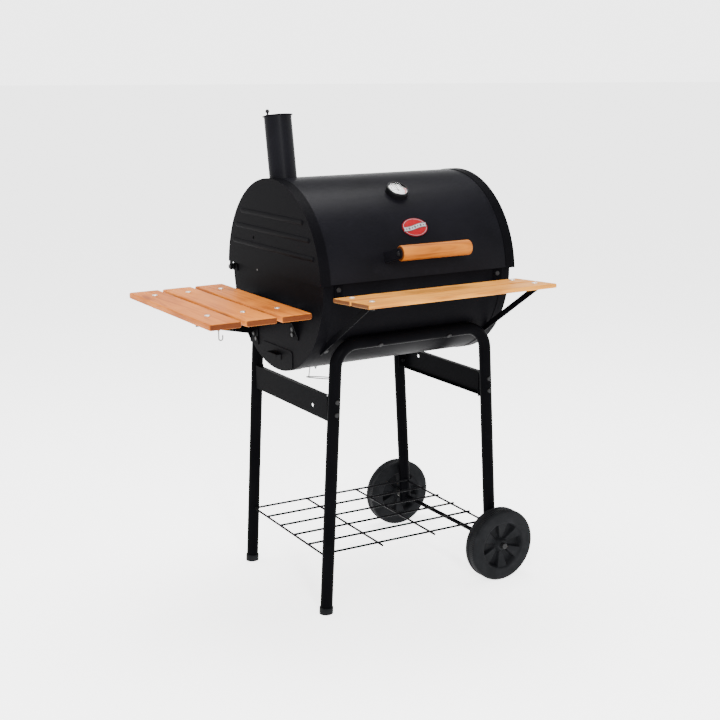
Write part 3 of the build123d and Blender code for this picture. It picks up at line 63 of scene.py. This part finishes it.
# ------------------------------------------------------------------ node helpers
class Shader:
    """A small wrapper that adds and links shader nodes."""

    def __init__(self, name):
        self.material = bpy.data.materials.new(name)
        self.material.use_nodes = True
        self.tree = self.material.node_tree
        self.surface = self.tree.nodes["Principled BSDF"]
        self.place = self.add("ShaderNodeTexCoord").outputs["Object"]

    def add(self, kind, **settings):
        node = self.tree.nodes.new(kind)
        for key, value in settings.items():
            setattr(node, key, value)
        return node

    def link(self, source, target):
        self.tree.links.new(source, target)

    def set(self, name, value):
        """A constant goes on the surface's socket; an output is linked to it."""
        socket = self.surface.inputs[name]
        if isinstance(value, bpy.types.NodeSocket):
            self.link(value, socket)
        else:
            socket.default_value = value

    def mapped(self, scale, shift=(0, 0, 0)):
        node = self.add("ShaderNodeMapping")
        node.inputs["Scale"].default_value = scale
        node.inputs["Location"].default_value = shift
        self.link(self.place, node.inputs["Vector"])
        return node.outputs["Vector"]

    def facing(self, axis):
        """How squarely the surface looks along one of the object's own axes."""
        split = self.add("ShaderNodeSeparateXYZ")
        self.link(self.add("ShaderNodeTexCoord").outputs["Normal"], split.inputs[0])
        size = self.add("ShaderNodeMath", operation="ABSOLUTE")
        self.link(split.outputs[axis], size.inputs[0])
        return size.outputs[0]

    def noise(self, scale, detail=4.0, rough=0.5, vector=None, distort=0.0):
        node = self.add("ShaderNodeTexNoise")
        node.inputs["Scale"].default_value = scale
        node.inputs["Detail"].default_value = detail
        node.inputs["Roughness"].default_value = rough
        node.inputs["Distortion"].default_value = distort
        self.link(vector or self.place, node.inputs["Vector"])
        return node.outputs["Fac"]

    def ramp(self, source, stops):
        node = self.add("ShaderNodeValToRGB")
        elements = node.color_ramp.elements
        while len(elements) < len(stops):
            elements.new(0.5)
        for element, (at, colour) in zip(elements, stops):
            element.position = at
            element.color = (*colour, 1.0)
        self.link(source, node.inputs["Fac"])
        return node.outputs["Color"]

    def spread(self, source, low, high, start=0.0, end=1.0):
        node = self.add("ShaderNodeMapRange")
        for key, value in (("From Min", start), ("From Max", end), ("To Min", low), ("To Max", high)):
            node.inputs[key].default_value = value
        self.link(source, node.inputs["Value"])
        return node.outputs["Result"]

    def mix(self, amount, one, two, blend="MIX"):
        node = self.add("ShaderNodeMix", data_type="RGBA", blend_type=blend)
        for socket, value in ((node.inputs[0], amount), (node.inputs[6], one), (node.inputs[7], two)):
            if isinstance(value, bpy.types.NodeSocket):
                self.link(value, socket)
            elif socket.type == "RGBA":
                socket.default_value = (*value, 1.0)
            else:
                socket.default_value = value
        return node.outputs[2]

    def sum(self, one, two, weight=1.0):
        node = self.add("ShaderNodeMath", operation="MULTIPLY_ADD")
        self.link(two, node.inputs[0])
        node.inputs[1].default_value = weight
        self.link(one, node.inputs[2])
        return node.outputs[0]

    def bump(self, height, strength, distance):
        node = self.add("ShaderNodeBump")
        node.inputs["Strength"].default_value = strength
        node.inputs["Distance"].default_value = distance
        self.link(height, node.inputs["Height"])
        self.link(node.outputs["Normal"], self.surface.inputs["Normal"])


# ------------------------------------------------------------------ materials
def paint(name, dark, light, rough, grain, lift, shine=0.2):
    """Satin coat on steel: fine speckle, slow tone drift and faint dust."""
    s = Shader(name)
    drift = s.noise(6.0, 3.0, 0.6)
    speckle = s.noise(grain, 2.0, 0.7)
    rub = s.noise(38.0, 5.0, 0.65)
    tone = s.ramp(drift, [(0.3, dark), (0.75, light)])
    dust = s.spread(rub, 0.0, 0.35, 0.58, 0.85)
    s.set("Base Color", s.mix(dust, tone, tuple(c * 1.6 + 0.001 for c in light)))
    s.set("Roughness", s.sum(s.spread(drift, rough - 0.05, rough + 0.07), speckle, 0.06))
    s.set("Specular IOR Level", shine)
    s.bump(s.sum(speckle, rub, 0.5), lift, 0.0006)
    return s.material


X_WAY, Y_WAY = 0, 1
KNOT_SHARE = 0.45
# How strongly, and towards what tone, the board ends are darkened: painted shade.
END_SHADE_AMOUNT = 0.95
END_SHADE_SHARES = (0.26, 0.24, 0.5)


def wood(name, along, tones, seed):
    """Sawn boards: growth bands, pores, a few knots, painted shade on the board ends and a clear satin
    coat.
    """
    s = Shader(name)
    rng = random.Random(seed)
    shift = [rng.uniform(-4, 4) for _ in range(3)]
    long_way = [26.0, 26.0, 26.0]
    long_way[along] = 1.7
    fibre_way = [520.0, 520.0, 520.0]
    fibre_way[along] = 9.0
    bands = s.noise(1.0, 4.0, 0.55, s.mapped(long_way, shift), 1.6)
    broad = s.noise(2.2, 2.0, 0.5, s.mapped((3, 3, 3), shift))
    wave = s.add("ShaderNodeMath", operation="SINE")
    s.link(s.spread(bands, 0.0, 22.0), wave.inputs[0])
    ring = s.spread(wave.outputs[0], 0.0, 1.0, -1.0, 1.0)
    fibre = s.noise(1.0, 3.0, 0.7, s.mapped(fibre_way, shift))
    knot = s.add("ShaderNodeTexVoronoi")
    knot.inputs["Scale"].default_value = 1.0
    knot_way = [9.0, 9.0, 9.0]
    knot_way[along] = 3.4
    s.link(s.mapped(knot_way, shift), knot.inputs["Vector"])
    eye = s.spread(knot.outputs["Distance"], 1.0, 0.0, 0.03, 0.13)
    pale, mid, deep = tones
    growth = s.spread(s.sum(broad, ring, 0.35), 0.0, 1.0, 0.2, 1.15)
    base = s.ramp(growth, [(0.1, pale), (0.55, mid), (0.95, deep)])
    lines = s.mix(s.spread(fibre, 0.0, 0.3, 0.5, 0.85), base, deep)
    knotted = s.mix(s.spread(eye, 0.0, 0.5), lines, tuple(c * KNOT_SHARE for c in deep))
    # Faces across the board's length turn dark: painted shade on the ends.
    end_shade_mask = s.spread(s.facing(along), 0.0, END_SHADE_AMOUNT, 0.45, 0.85)
    end_shade_tone = tuple(c * share for c, share in zip(deep, END_SHADE_SHARES))
    s.set("Base Color", s.mix(end_shade_mask, knotted, end_shade_tone))
    s.set("Roughness", s.spread(fibre, 0.42, 0.62))
    s.set("Specular IOR Level", 0.06)
    s.bump(s.sum(fibre, ring, 0.35), 0.25, 0.0005)
    return s.material


def metal(name, tone, rough, brushed):
    """Plated or bare steel with fine scratches and dull patches."""
    s = Shader(name)
    patches = s.noise(90.0, 4.0, 0.6)
    lines = s.noise(1.0, 3.0, 0.6, s.mapped((brushed, brushed, brushed * 6)))
    s.set("Base Color", s.ramp(patches, [(0.3, tuple(c * 0.82 for c in tone)), (0.7, tone)]))
    s.set("Metallic", 1.0)
    s.set("Roughness", s.sum(s.spread(patches, rough - 0.06, rough + 0.12), lines, 0.1))
    s.bump(lines, 0.12, 0.0002)
    return s.material


def cast_iron(name):
    """Sand-cast and seasoned iron."""
    s = Shader(name)
    grit = s.noise(420.0, 6.0, 0.7)
    bloom = s.noise(14.0, 4.0, 0.6)
    s.set("Base Color", s.ramp(bloom, [(0.3, (0.018, 0.017, 0.016)), (0.8, (0.05, 0.045, 0.04))]))
    s.set("Metallic", 0.35)
    s.set("Roughness", s.spread(grit, 0.55, 0.8))
    s.bump(grit, 0.5, 0.0008)
    return s.material


def plastic(name):
    """Blow-moulded black plastic with a fine grain."""
    s = Shader(name)
    grain = s.noise(900.0, 3.0, 0.6)
    scuff = s.noise(22.0, 5.0, 0.65)
    fresh, worn = (0.0034, 0.0037, 0.0042), (0.008, 0.0083, 0.0092)
    s.set("Base Color", s.ramp(scuff, [(0.35, fresh), (0.75, worn)]))
    s.set("Roughness", s.spread(scuff, 0.38, 0.56))
    s.set("Specular IOR Level", 0.025)
    s.bump(grain, 0.25, 0.0004)
    return s.material


def enamel(name, tone, deep, rough=0.25, shine=0.5):
    """Glossy print or enamel with slight unevenness."""
    s = Shader(name)
    cloud = s.noise(160.0, 3.0, 0.5)
    s.set("Base Color", s.ramp(cloud, [(0.3, deep), (0.7, tone)]))
    s.set("Roughness", s.spread(cloud, rough, rough + 0.15))
    s.set("Specular IOR Level", shine)
    s.bump(cloud, 0.08, 0.0002)
    return s.material


def clear_glass(name):
    """A thin window, almost without a bend, with faint smears."""
    s = Shader(name)
    smear = s.noise(120.0, 3.0, 0.5)
    s.set("Base Color", s.ramp(smear, [(0.3, (0.93, 0.95, 0.96)), (0.7, (1.0, 1.0, 1.0))]))
    s.set("Transmission Weight", 1.0)
    s.set("IOR", 1.1)
    s.set("Roughness", s.spread(smear, 0.0, 0.05))
    return s.material


# Pale, middle and deep tone of the front shelf, the side shelf and the grip.
FRONT_TONES = ((0.48, 0.205, 0.03), (0.38, 0.15, 0.02), (0.22, 0.072, 0.009))
SIDE_TONES = ((0.46, 0.145, 0.018), (0.36, 0.1, 0.011), (0.2, 0.046, 0.005))
GRIP_TONES = ((0.35, 0.118, 0.014), (0.26, 0.08, 0.009), (0.13, 0.032, 0.003))

materials = {
    "black_paint": paint(
        "black_paint", (0.003, 0.003, 0.0038), (0.0048, 0.0047, 0.0062), 0.34, 1400.0, 0.1, 0.022),
    "black_tube": paint(
        "black_tube", (0.0011, 0.0011, 0.0014), (0.0019, 0.0019, 0.0024), 0.3, 1600.0, 0.08, 0.005),
    "dark_bolt": paint(
        "dark_bolt", (0.004, 0.004, 0.0044), (0.009, 0.009, 0.0095), 0.36, 900.0, 0.08, 0.12),
    "black_wire": paint(
        "black_wire", (0.002, 0.002, 0.0024), (0.0034, 0.0034, 0.0038), 0.3, 1200.0, 0.08, 0.02),
    "gauge_bezel": paint(
        "gauge_bezel", (0.0022, 0.0022, 0.0026), (0.004, 0.004, 0.0044), 0.25, 1200.0, 0.05, 0.05),
    "gauge_needle": paint("gauge_needle", (0.02, 0.02, 0.02), (0.03, 0.03, 0.03), 0.4, 1200.0, 0.05),
    "zinc_bolt": metal("zinc_bolt", (0.72, 0.71, 0.68), 0.28, 300.0),
    "plated_wire": metal("plated_wire", (0.12, 0.12, 0.118), 0.42, 300.0),
    "cast_iron": cast_iron("cast_iron"),
    "black_plastic": plastic("black_plastic"),
    "gauge_face": enamel("gauge_face", (0.86, 0.86, 0.84), (0.78, 0.78, 0.76), 0.4),
    "badge_enamel": enamel("badge_enamel", (0.22, 0.006, 0.01), (0.16, 0.004, 0.007), 0.3, 0.1),
    "gauge_glass": clear_glass("gauge_glass"),
}
print_black = enamel("print_black", (0.02, 0.02, 0.02), (0.012, 0.012, 0.012), 0.4)
print_grey = enamel("print_grey", (0.27, 0.27, 0.28), (0.2, 0.2, 0.21), 0.35, 0.15)
print_red = enamel("print_red", (0.55, 0.04, 0.03), (0.45, 0.03, 0.025), 0.35)
print_maroon = enamel("print_maroon", (0.12, 0.005, 0.008), (0.09, 0.003, 0.006), 0.35, 0.1)
# A darker, duller copy of the black paint for the painted sheet other than the lid and stack: painted
# shade.
shaded_paint = paint("shaded_paint", (0.0016, 0.0016, 0.002), (0.0027, 0.0026, 0.0033), 0.4, 1400.0, 0.1, 0.008)

# The lid and stack keep the black paint; the other painted sheet gets a darker, duller copy of it as
# painted shade.
UNSHADED_PAINT_NODES = ("hood_shell", "stack_tube", "stack_flange", "stack_flap", "handle_arms")
DARK_FASTENERS = ("handle_screws", "axle_caps")
# Bolt heads over these heights, and in front of this line on the front shelf, are plated.
SHELF_EDGE_Y = BARREL_Y - 0.28
SHELF_HEAD_Z = 0.83
SIDE_HEAD_Z = 0.795


def darken(name, stays_bright):
    """Painted faces on a fastener node, apart from those that the rule keeps plated."""
    mesh = nodes[name].data
    mesh.materials.append(materials["dark_bolt"])
    for polygon in mesh.polygons:
        if not stays_bright(nodes[name].matrix_world @ polygon.center):
            polygon.material_index = 1


def dress_cad():
    """Gives every CAD node its finish; each board gets its own piece of timber."""
    for seed, (name, obj) in enumerate(sorted(nodes.items())):
        slot = slot_of[name]
        if slot == "shelf_wood":
            tones = GRIP_TONES if name == "handle_grip" else FRONT_TONES
            finish = wood("timber_" + name, X_WAY, tones, seed)
        elif slot == "side_wood":
            finish = wood("timber_" + name, Y_WAY, SIDE_TONES, seed)
        else:
            finish = materials["dark_bolt" if name in DARK_FASTENERS else slot]
            # Painted sheet outside the lid and stack gets the darker copy of the paint: painted shade.
            if slot == "black_paint" and name not in UNSHADED_PAINT_NODES:
                finish = shaded_paint
        if not obj.material_slots:
            obj.data.materials.append(finish)
        for held in obj.material_slots:
            held.material = finish


dress_cad()
darken("front_shelf_bolts", lambda centre: centre.y < SHELF_EDGE_Y and centre.z > SHELF_HEAD_Z)
darken("side_shelf_bolts", lambda centre: centre.z > SIDE_HEAD_Z)


# ------------------------------------------------------------------ mesh helpers
def piece(name, verts, faces, finish, body, slot, smooth_angle=35.0):
    """A closed mesh in the row frame that moves with one CAD body."""
    mesh = bpy.data.meshes.new(name)
    mesh.from_pydata([tuple(v) for v in verts], [], faces)
    bm = bmesh.new()
    bm.from_mesh(mesh)
    bmesh.ops.recalc_face_normals(bm, faces=bm.faces)
    bm.to_mesh(mesh)
    bm.free()
    mesh.materials.append(finish)
    for polygon in mesh.polygons:
        polygon.use_smooth = True
    mesh.set_sharp_from_angle(angle=math.radians(smooth_angle))
    obj = bpy.data.objects.new(name, mesh)
    bpy.context.scene.collection.objects.link(obj)
    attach(obj, body)
    return obj


def thin_solid(point, across, around, wrap):
    """Top and bottom grids with side walls; point(i, j, layer) gives a place."""
    verts, faces = [], []
    for layer in (0, 1):
        for i in range(across):
            verts.extend(point(i, j, layer) for j in range(around))

    def at(i, j, layer):
        return layer * across * around + i * around + j % around

    last = around if wrap else around - 1
    for i in range(across - 1):
        for j in range(last):
            for layer in (0, 1):
                near = (at(i, j, layer), at(i + 1, j, layer))
                far = (at(i + 1, j + 1, layer), at(i, j + 1, layer))
                faces.append(near + far)
    for j in range(last):
        for i in (0, across - 1):
            faces.append((at(i, j, 0), at(i, j + 1, 0), at(i, j + 1, 1), at(i, j, 1)))
    if not wrap:
        for i in range(across - 1):
            for j in (0, around - 1):
                faces.append((at(i, j, 0), at(i + 1, j, 0), at(i + 1, j, 1), at(i, j, 1)))
    return verts, faces


def joined(parts):
    """Several meshes as one list of vertices and faces."""
    verts, faces = [], []
    for more_verts, more_faces in parts:
        base = len(verts)
        verts.extend(more_verts)
        faces.extend(tuple(base + k for k in face) for face in more_faces)
    return verts, faces


def ease(value, low, high):
    """0 below low, 1 above high, smooth between."""
    t = min(max((value - low) / (high - low), 0.0), 1.0)
    return t * t * (3 - 2 * t)


# ------------------------------------------------------------------ wheels
SPOKES = 6
RIBS = 110
RIB_SAMPLES = 4
RIB_DEEP = 1.1 * MM
BORE_R = 6.2 * MM
HUB_R = 17.0 * MM
HUB_FACE = 17.8 * MM
SPOKE_ROOT = 9.0 * MM
SPOKE_TOP = 17.5 * MM
POCKET_IN = 21.0 * MM
POCKET_OUT = 61.0 * MM
POCKET_FLOOR = 3.0 * MM
POCKET_HALF = math.radians(15.0)
RIM_R = 64.0 * MM
RIM_FACE = 21.5 * MM
SHOULDER_R = 90.0 * MM
TREAD_HALF = 15.0 * MM


def wheel_face(r, turn):
    """Height of the moulded wheel's face over its middle plane."""
    dish = SPOKE_ROOT + (SPOKE_TOP - SPOKE_ROOT) * ease(r, HUB_R, RIM_R)
    hub = HUB_FACE + (dish - HUB_FACE) * ease(r, HUB_R - 3 * MM, HUB_R + 3 * MM)
    pitch = 2 * math.pi / SPOKES
    off = abs((turn + pitch / 2) % pitch - pitch / 2)
    side = 1 - ease(off * r, POCKET_HALF * r - 1.5 * MM, POCKET_HALF * r + 1.5 * MM)
    starts = ease(r, POCKET_IN - 1.5 * MM, POCKET_IN + 2 * MM)
    radial = starts * (1 - ease(r, POCKET_OUT - 2 * MM, POCKET_OUT + 1.5 * MM))
    height = hub + (POCKET_FLOOR - hub) * side * radial
    return height + (RIM_FACE - SPOKE_TOP) * ease(r, RIM_R - 2 * MM, RIM_R + 2 * MM)


def wheel(name, node, body, side):
    """One wheel as closed rings from the bore, over the tread and back to the bore."""
    low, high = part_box(node)
    middle = (low + high) / 2
    rim_r = (high.x - low.x) / 2
    steps = RIBS * RIB_SAMPLES
    radii = [BORE_R, HUB_R - 3 * MM, HUB_R, HUB_R + 3 * MM]
    r = HUB_R + 4.5 * MM
    while r < RIM_R + 3 * MM:
        radii.append(r)
        r += 1.6 * MM
    radii += [RIM_R + 6 * MM, RIM_R + 14 * MM, SHOULDER_R - 4 * MM, SHOULDER_R]
    arc = [math.radians(a) for a in (15, 32, 50, 68, 84)]
    round_x = rim_r - SHOULDER_R
    round_y = RIM_FACE - TREAD_HALF
    half = [("face", r, 0.0) for r in radii]
    for a in arc:
        half.append(("edge", SHOULDER_R + round_x * math.sin(a), TREAD_HALF + round_y * math.cos(a)))
    half += [("edge", rim_r, TREAD_HALF), ("edge", rim_r, 6 * MM)]
    half += [("groove", rim_r, 5 * MM), ("groove", rim_r, 1 * MM)]
    rings = [(kind, r, h, 1) for kind, r, h in half]
    rings += [(kind, r, h, -1) for kind, r, h in reversed(half)]
    verts = []
    for kind, r, h, way in rings:
        for k in range(steps):
            turn = 2 * math.pi * k / steps
            rib = 0.5 - 0.5 * math.cos(2 * math.pi * (k % RIB_SAMPLES) / RIB_SAMPLES)
            reach, rise = r, h
            if kind == "face":
                rise = wheel_face(r, turn)
            elif kind == "edge":
                reach = r - RIB_DEEP * rib * ease(r, SHOULDER_R, rim_r)
            else:
                reach = r - 1.8 * RIB_DEEP
            verts.append((middle.x + reach * math.cos(turn), middle.y + side * way * rise,
                          middle.z + reach * math.sin(turn)))
    faces = []
    count = len(rings)
    for i in range(count):
        for k in range(steps):
            a, b = i * steps, ((i + 1) % count) * steps
            faces.append((a + k, b + k, b + (k + 1) % steps, a + (k + 1) % steps))
    obj = piece(name, verts, faces, materials["black_plastic"], body, "black_plastic", 40.0)
    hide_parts(node)
    return obj


wheel("moulded_wheel_front", "wheel_front", "front_wheel", -1)
wheel("moulded_wheel_rear", "wheel_rear", "rear_wheel", 1)


# ------------------------------------------------------------------ gauge print
GAUGE_TURN = math.radians(122.3)
PART_GAP, GAUGE_HEIGHT, GAUGE_DEEP, DIAL_THICK = 0.05, 15.0, 6.0, 0.8
DIAL_TOP = HOOD_R + (PART_GAP + GAUGE_HEIGHT - GAUGE_DEEP + DIAL_THICK) * MM
TICKS = 28
TICK_SWEEP = math.radians(280)
TICK_START = math.radians(230)
LONG_EVERY = 4
LONG_IN, SHORT_IN, MARK_OUT = 14.5 * MM, 17.0 * MM, 19.5 * MM
LINE_IN, LINE_OUT = 20.2 * MM, 20.6 * MM
ZONE_IN, ZONE_OUT = 21.0 * MM, 23.2 * MM
PRINT_THICK = 0.12 * MM


def on_dial(x, up, rise):
    """A place on the gauge: right, up the lid's skin, and out of the dial."""
    out = Vector((0, math.cos(GAUGE_TURN), math.sin(GAUGE_TURN)))
    skin = Vector((0, math.sin(GAUGE_TURN), -math.cos(GAUGE_TURN)))
    centre = Vector((BARREL_X, BARREL_Y, HOOD_Z))
    return centre + out * (DIAL_TOP + rise) + skin * up + Vector((x, 0, 0))


def dial_arc(r_in, r_out, start, sweep, steps):
    """A flat ring segment of print on the dial, drawn clockwise."""
    def point(i, j, layer):
        r = r_in if i == 0 else r_out
        turn = start - sweep * j / (steps - 1)
        return on_dial(r * math.cos(turn), r * math.sin(turn), (layer + 0.02) * PRINT_THICK)
    return thin_solid(point, 2, steps, False)


def gauge_print():
    """Scale marks, the rim line and the low and hot zones, with no figures."""
    marks = []
    for k in range(TICKS + 1):
        turn = TICK_START - TICK_SWEEP * k / TICKS
        long_mark = k % LONG_EVERY == 0
        width = 0.05 if long_mark else 0.025
        inner = LONG_IN if long_mark else SHORT_IN
        marks.append(dial_arc(inner, MARK_OUT, turn + width / 2, width, 3))
    marks.append(dial_arc(LINE_IN, LINE_OUT, TICK_START, TICK_SWEEP, 60))
    verts, faces = joined(marks)
    piece("gauge_marks", verts, faces, print_black, "hood", "gauge_needle")
    zone = TICK_SWEEP / 4
    verts, faces = dial_arc(ZONE_IN, ZONE_OUT, TICK_START - 3 * zone, zone, 20)
    piece("gauge_hot_zone", verts, faces, print_red, "hood", "badge_enamel")
    verts, faces = dial_arc(ZONE_IN, ZONE_OUT, TICK_START, 3 * zone - 0.05, 40)
    piece("gauge_low_zone", verts, faces, materials["zinc_bolt"], "hood", "zinc_bolt")


gauge_print()


# ------------------------------------------------------------------ badge
badge_low, badge_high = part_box("badge_plate")
BADGE_X = (badge_low.x + badge_high.x) / 2
BADGE_TURN = math.radians(147.8)
BADGE_THICK = 2.2
BADGE_TOP = HOOD_R + (PART_GAP + BADGE_THICK) * MM
BADGE_A, BADGE_B = 37.0 * MM, 25.0 * MM
BAND_HALF = 6.6 * MM
BAND_EDGE = 1.8 * MM
BAND_LEAN = 0.13
BAND_WAVE = 1.6 * MM
DIAMONDS = 7


def on_badge(x, up, rise):
    """A place on the bent badge: right, up along the lid's skin, and out."""
    turn = BADGE_TURN - up / BADGE_TOP
    r = BADGE_TOP + rise
    return Vector((BADGE_X + x, BARREL_Y + r * math.cos(turn), HOOD_Z + r * math.sin(turn)))


def oval_ring(outer, inner, rise, thick, rings):
    """A raised oval ring between two shares of the badge's outline."""
    around = 96

    def point(i, j, layer):
        share = inner + (outer - inner) * i / (rings - 1)
        turn = 2 * math.pi * j / around
        x, up = BADGE_A * share * math.cos(turn), BADGE_B * share * math.sin(turn)
        return on_badge(x, up, rise + layer * thick)
    return thin_solid(point, rings, around, True)


def ribbon(half, reach, rise, thick):
    """A leaning band across the badge with swallow-tail ends and a slow wave."""
    steps = 49

    def point(i, j, layer):
        along = -1 + 2 * j / (steps - 1)
        middle = 1 - abs(i - 4) / 4
        notch = reach * 0.05 * middle * math.copysign(1, along) * ease(abs(along), 0.9, 1.0)
        wave = BAND_WAVE * math.sin(along * math.pi)
        x = reach * along - notch
        return on_badge(x, x * BAND_LEAN + wave + half * (i / 4 - 1), rise + layer * thick)
    return thin_solid(point, 9, steps, False)


def diamonds():
    """A row of small lozenges along the band."""
    shapes = []
    for k in range(DIAMONDS):
        x0 = BADGE_A * 1.45 * (k / (DIAMONDS - 1) - 0.5)
        up0 = x0 * BAND_LEAN + BAND_WAVE * math.sin(x0 / (BADGE_A * 0.95) * math.pi)
        size = (3.6 if k % 2 else 2.4) * MM

        def point(i, j, layer, x0=x0, up0=up0, size=size):
            turn = math.pi / 2 * j
            share = 0.02 + 0.98 * i
            x, up = x0 + size * share * math.cos(turn), up0 + size * 1.2 * share * math.sin(turn)
            return on_badge(x, up, (0.62 + 0.14 * layer) * MM)
        shapes.append(thin_solid(point, 2, 4, True))
    return joined(shapes)


def badge():
    """A plain oval badge: raised rim, thin line and a leaning band with lozenges."""
    rim = oval_ring(1.0, 0.945, -0.02 * MM, 0.5 * MM, 2)
    line = oval_ring(0.925, 0.9, -0.02 * MM, 0.3 * MM, 2)
    edge = ribbon(BAND_HALF, BADGE_A * 0.97, 0.02 * MM, 0.4 * MM)
    band = ribbon(BAND_HALF - BAND_EDGE, BADGE_A * 0.93, 0.2 * MM, 0.42 * MM)
    piece("badge_rim", *rim, print_maroon, "hood", "badge_enamel")
    piece("badge_line", *line, print_grey, "hood", "gauge_face")
    piece("badge_band_edge", *edge, print_black, "hood", "gauge_needle")
    piece("badge_band", *band, print_grey, "hood", "gauge_face")
    piece("badge_diamonds", *diamonds(), print_black, "hood", "gauge_needle")


badge()


# ------------------------------------------------------------------ studio
CAMERA_PLACE = (-1.6482, -2.8129, 1.3815)
CAMERA_YAW, CAMERA_PITCH, CAMERA_ROLL = (math.radians(a) for a in (30.9, 13.02, -0.3))
CAMERA_LENS = 63.64
HORIZON_LEVEL, OVERHEAD_LEVEL, FLOOR_GLOW = 3.9, 0.5, 2.8
HORIZON_END, OVERHEAD_START = 0.1, 0.45
FLOOR_HALF = 300.0
KEY_POWER, TOP_POWER, SIDE_POWER, FRONT_POWER = 110, 240, 30, 170


def camera():
    """The main view, turned from straight ahead by its yaw, pitch and roll."""
    yaw, pitch, roll = CAMERA_YAW, CAMERA_PITCH, CAMERA_ROLL
    ahead = Vector((math.sin(yaw) * math.cos(pitch), math.cos(yaw) * math.cos(pitch), -math.sin(pitch)))
    right = Vector((math.cos(yaw), -math.sin(yaw), 0))
    up = right.cross(ahead)
    turned_right = right * math.cos(roll) + up * math.sin(roll)
    turned_up = up * math.cos(roll) - right * math.sin(roll)
    data = bpy.data.cameras.new("studio_camera")
    data.lens = CAMERA_LENS
    data.sensor_width = 36
    data.clip_end = 100
    data.dof.use_dof = False
    obj = bpy.data.objects.new("studio_camera", data)
    bpy.context.scene.collection.objects.link(obj)
    turn = Matrix((turned_right, turned_up, -ahead)).transposed().to_4x4()
    obj.matrix_world = Matrix.Translation(CAMERA_PLACE) @ turn
    bpy.context.scene.camera = obj


def soft_light(name, place, size, power, target=(0, 0, 0.7)):
    """A rectangular soft box aimed at the grill."""
    data = bpy.data.lights.new(name, "AREA")
    data.shape = "RECTANGLE"
    data.size, data.size_y = size
    data.energy = power
    obj = bpy.data.objects.new(name, data)
    obj.location = place
    obj.rotation_euler = (Vector(target) - Vector(place)).to_track_quat("-Z", "Y").to_euler()
    bpy.context.scene.collection.objects.link(obj)


def studio():
    """A white room: an evenly bright floor and horizon, softer overhead, four soft boxes."""
    world = bpy.data.worlds.new("studio_world")
    world.use_nodes = True
    tree = world.node_tree
    back = tree.nodes["Background"]
    place = tree.nodes.new("ShaderNodeTexCoord")
    split = tree.nodes.new("ShaderNodeSeparateXYZ")
    level = tree.nodes.new("ShaderNodeMapRange")
    level.interpolation_type = "SMOOTHSTEP"
    span = (("From Min", HORIZON_END), ("From Max", OVERHEAD_START),
            ("To Min", HORIZON_LEVEL), ("To Max", OVERHEAD_LEVEL))
    for key, value in span:
        level.inputs[key].default_value = value
    tree.links.new(place.outputs["Generated"], split.inputs["Vector"])
    tree.links.new(split.outputs["Z"], level.inputs["Value"])
    tree.links.new(level.outputs["Result"], back.inputs["Strength"])
    back.inputs["Color"].default_value = (1.0, 1.0, 1.0, 1.0)
    bpy.context.scene.world = world
    s = Shader("studio_floor")
    mottle = s.noise(0.8, 2.0, 0.5)
    s.set("Base Color", s.ramp(mottle, [(0.3, (0.78, 0.78, 0.78)), (0.7, (0.8, 0.8, 0.8))]))
    s.set("Roughness", 0.95)
    s.set("Specular IOR Level", 0.0)
    s.set("Emission Color", (1.0, 1.0, 1.0, 1.0))
    s.set("Emission Strength", FLOOR_GLOW)
    mesh = bpy.data.meshes.new("studio_floor")
    corners = [(x * FLOOR_HALF, y * FLOOR_HALF, 0) for x, y in ((-1, -1), (1, -1), (1, 1), (-1, 1))]
    mesh.from_pydata(corners, [], [(0, 1, 2, 3)])
    mesh.materials.append(s.material)
    floor = bpy.data.objects.new("studio_floor", mesh)
    bpy.context.scene.collection.objects.link(floor)
    soft_light("key_light", (-2.4, -2.6, 3.2), (1.7, 1.7), KEY_POWER)
    soft_light("top_light", (0.2, 0.6, 3.4), (2.6, 1.6), TOP_POWER)
    soft_light("side_light", (3.0, -1.2, 1.8), (1.6, 2.2), SIDE_POWER)
    soft_light("front_light", (-1.1, -3.6, 2.3), (0.45, 1.3), FRONT_POWER)


camera()
studio()
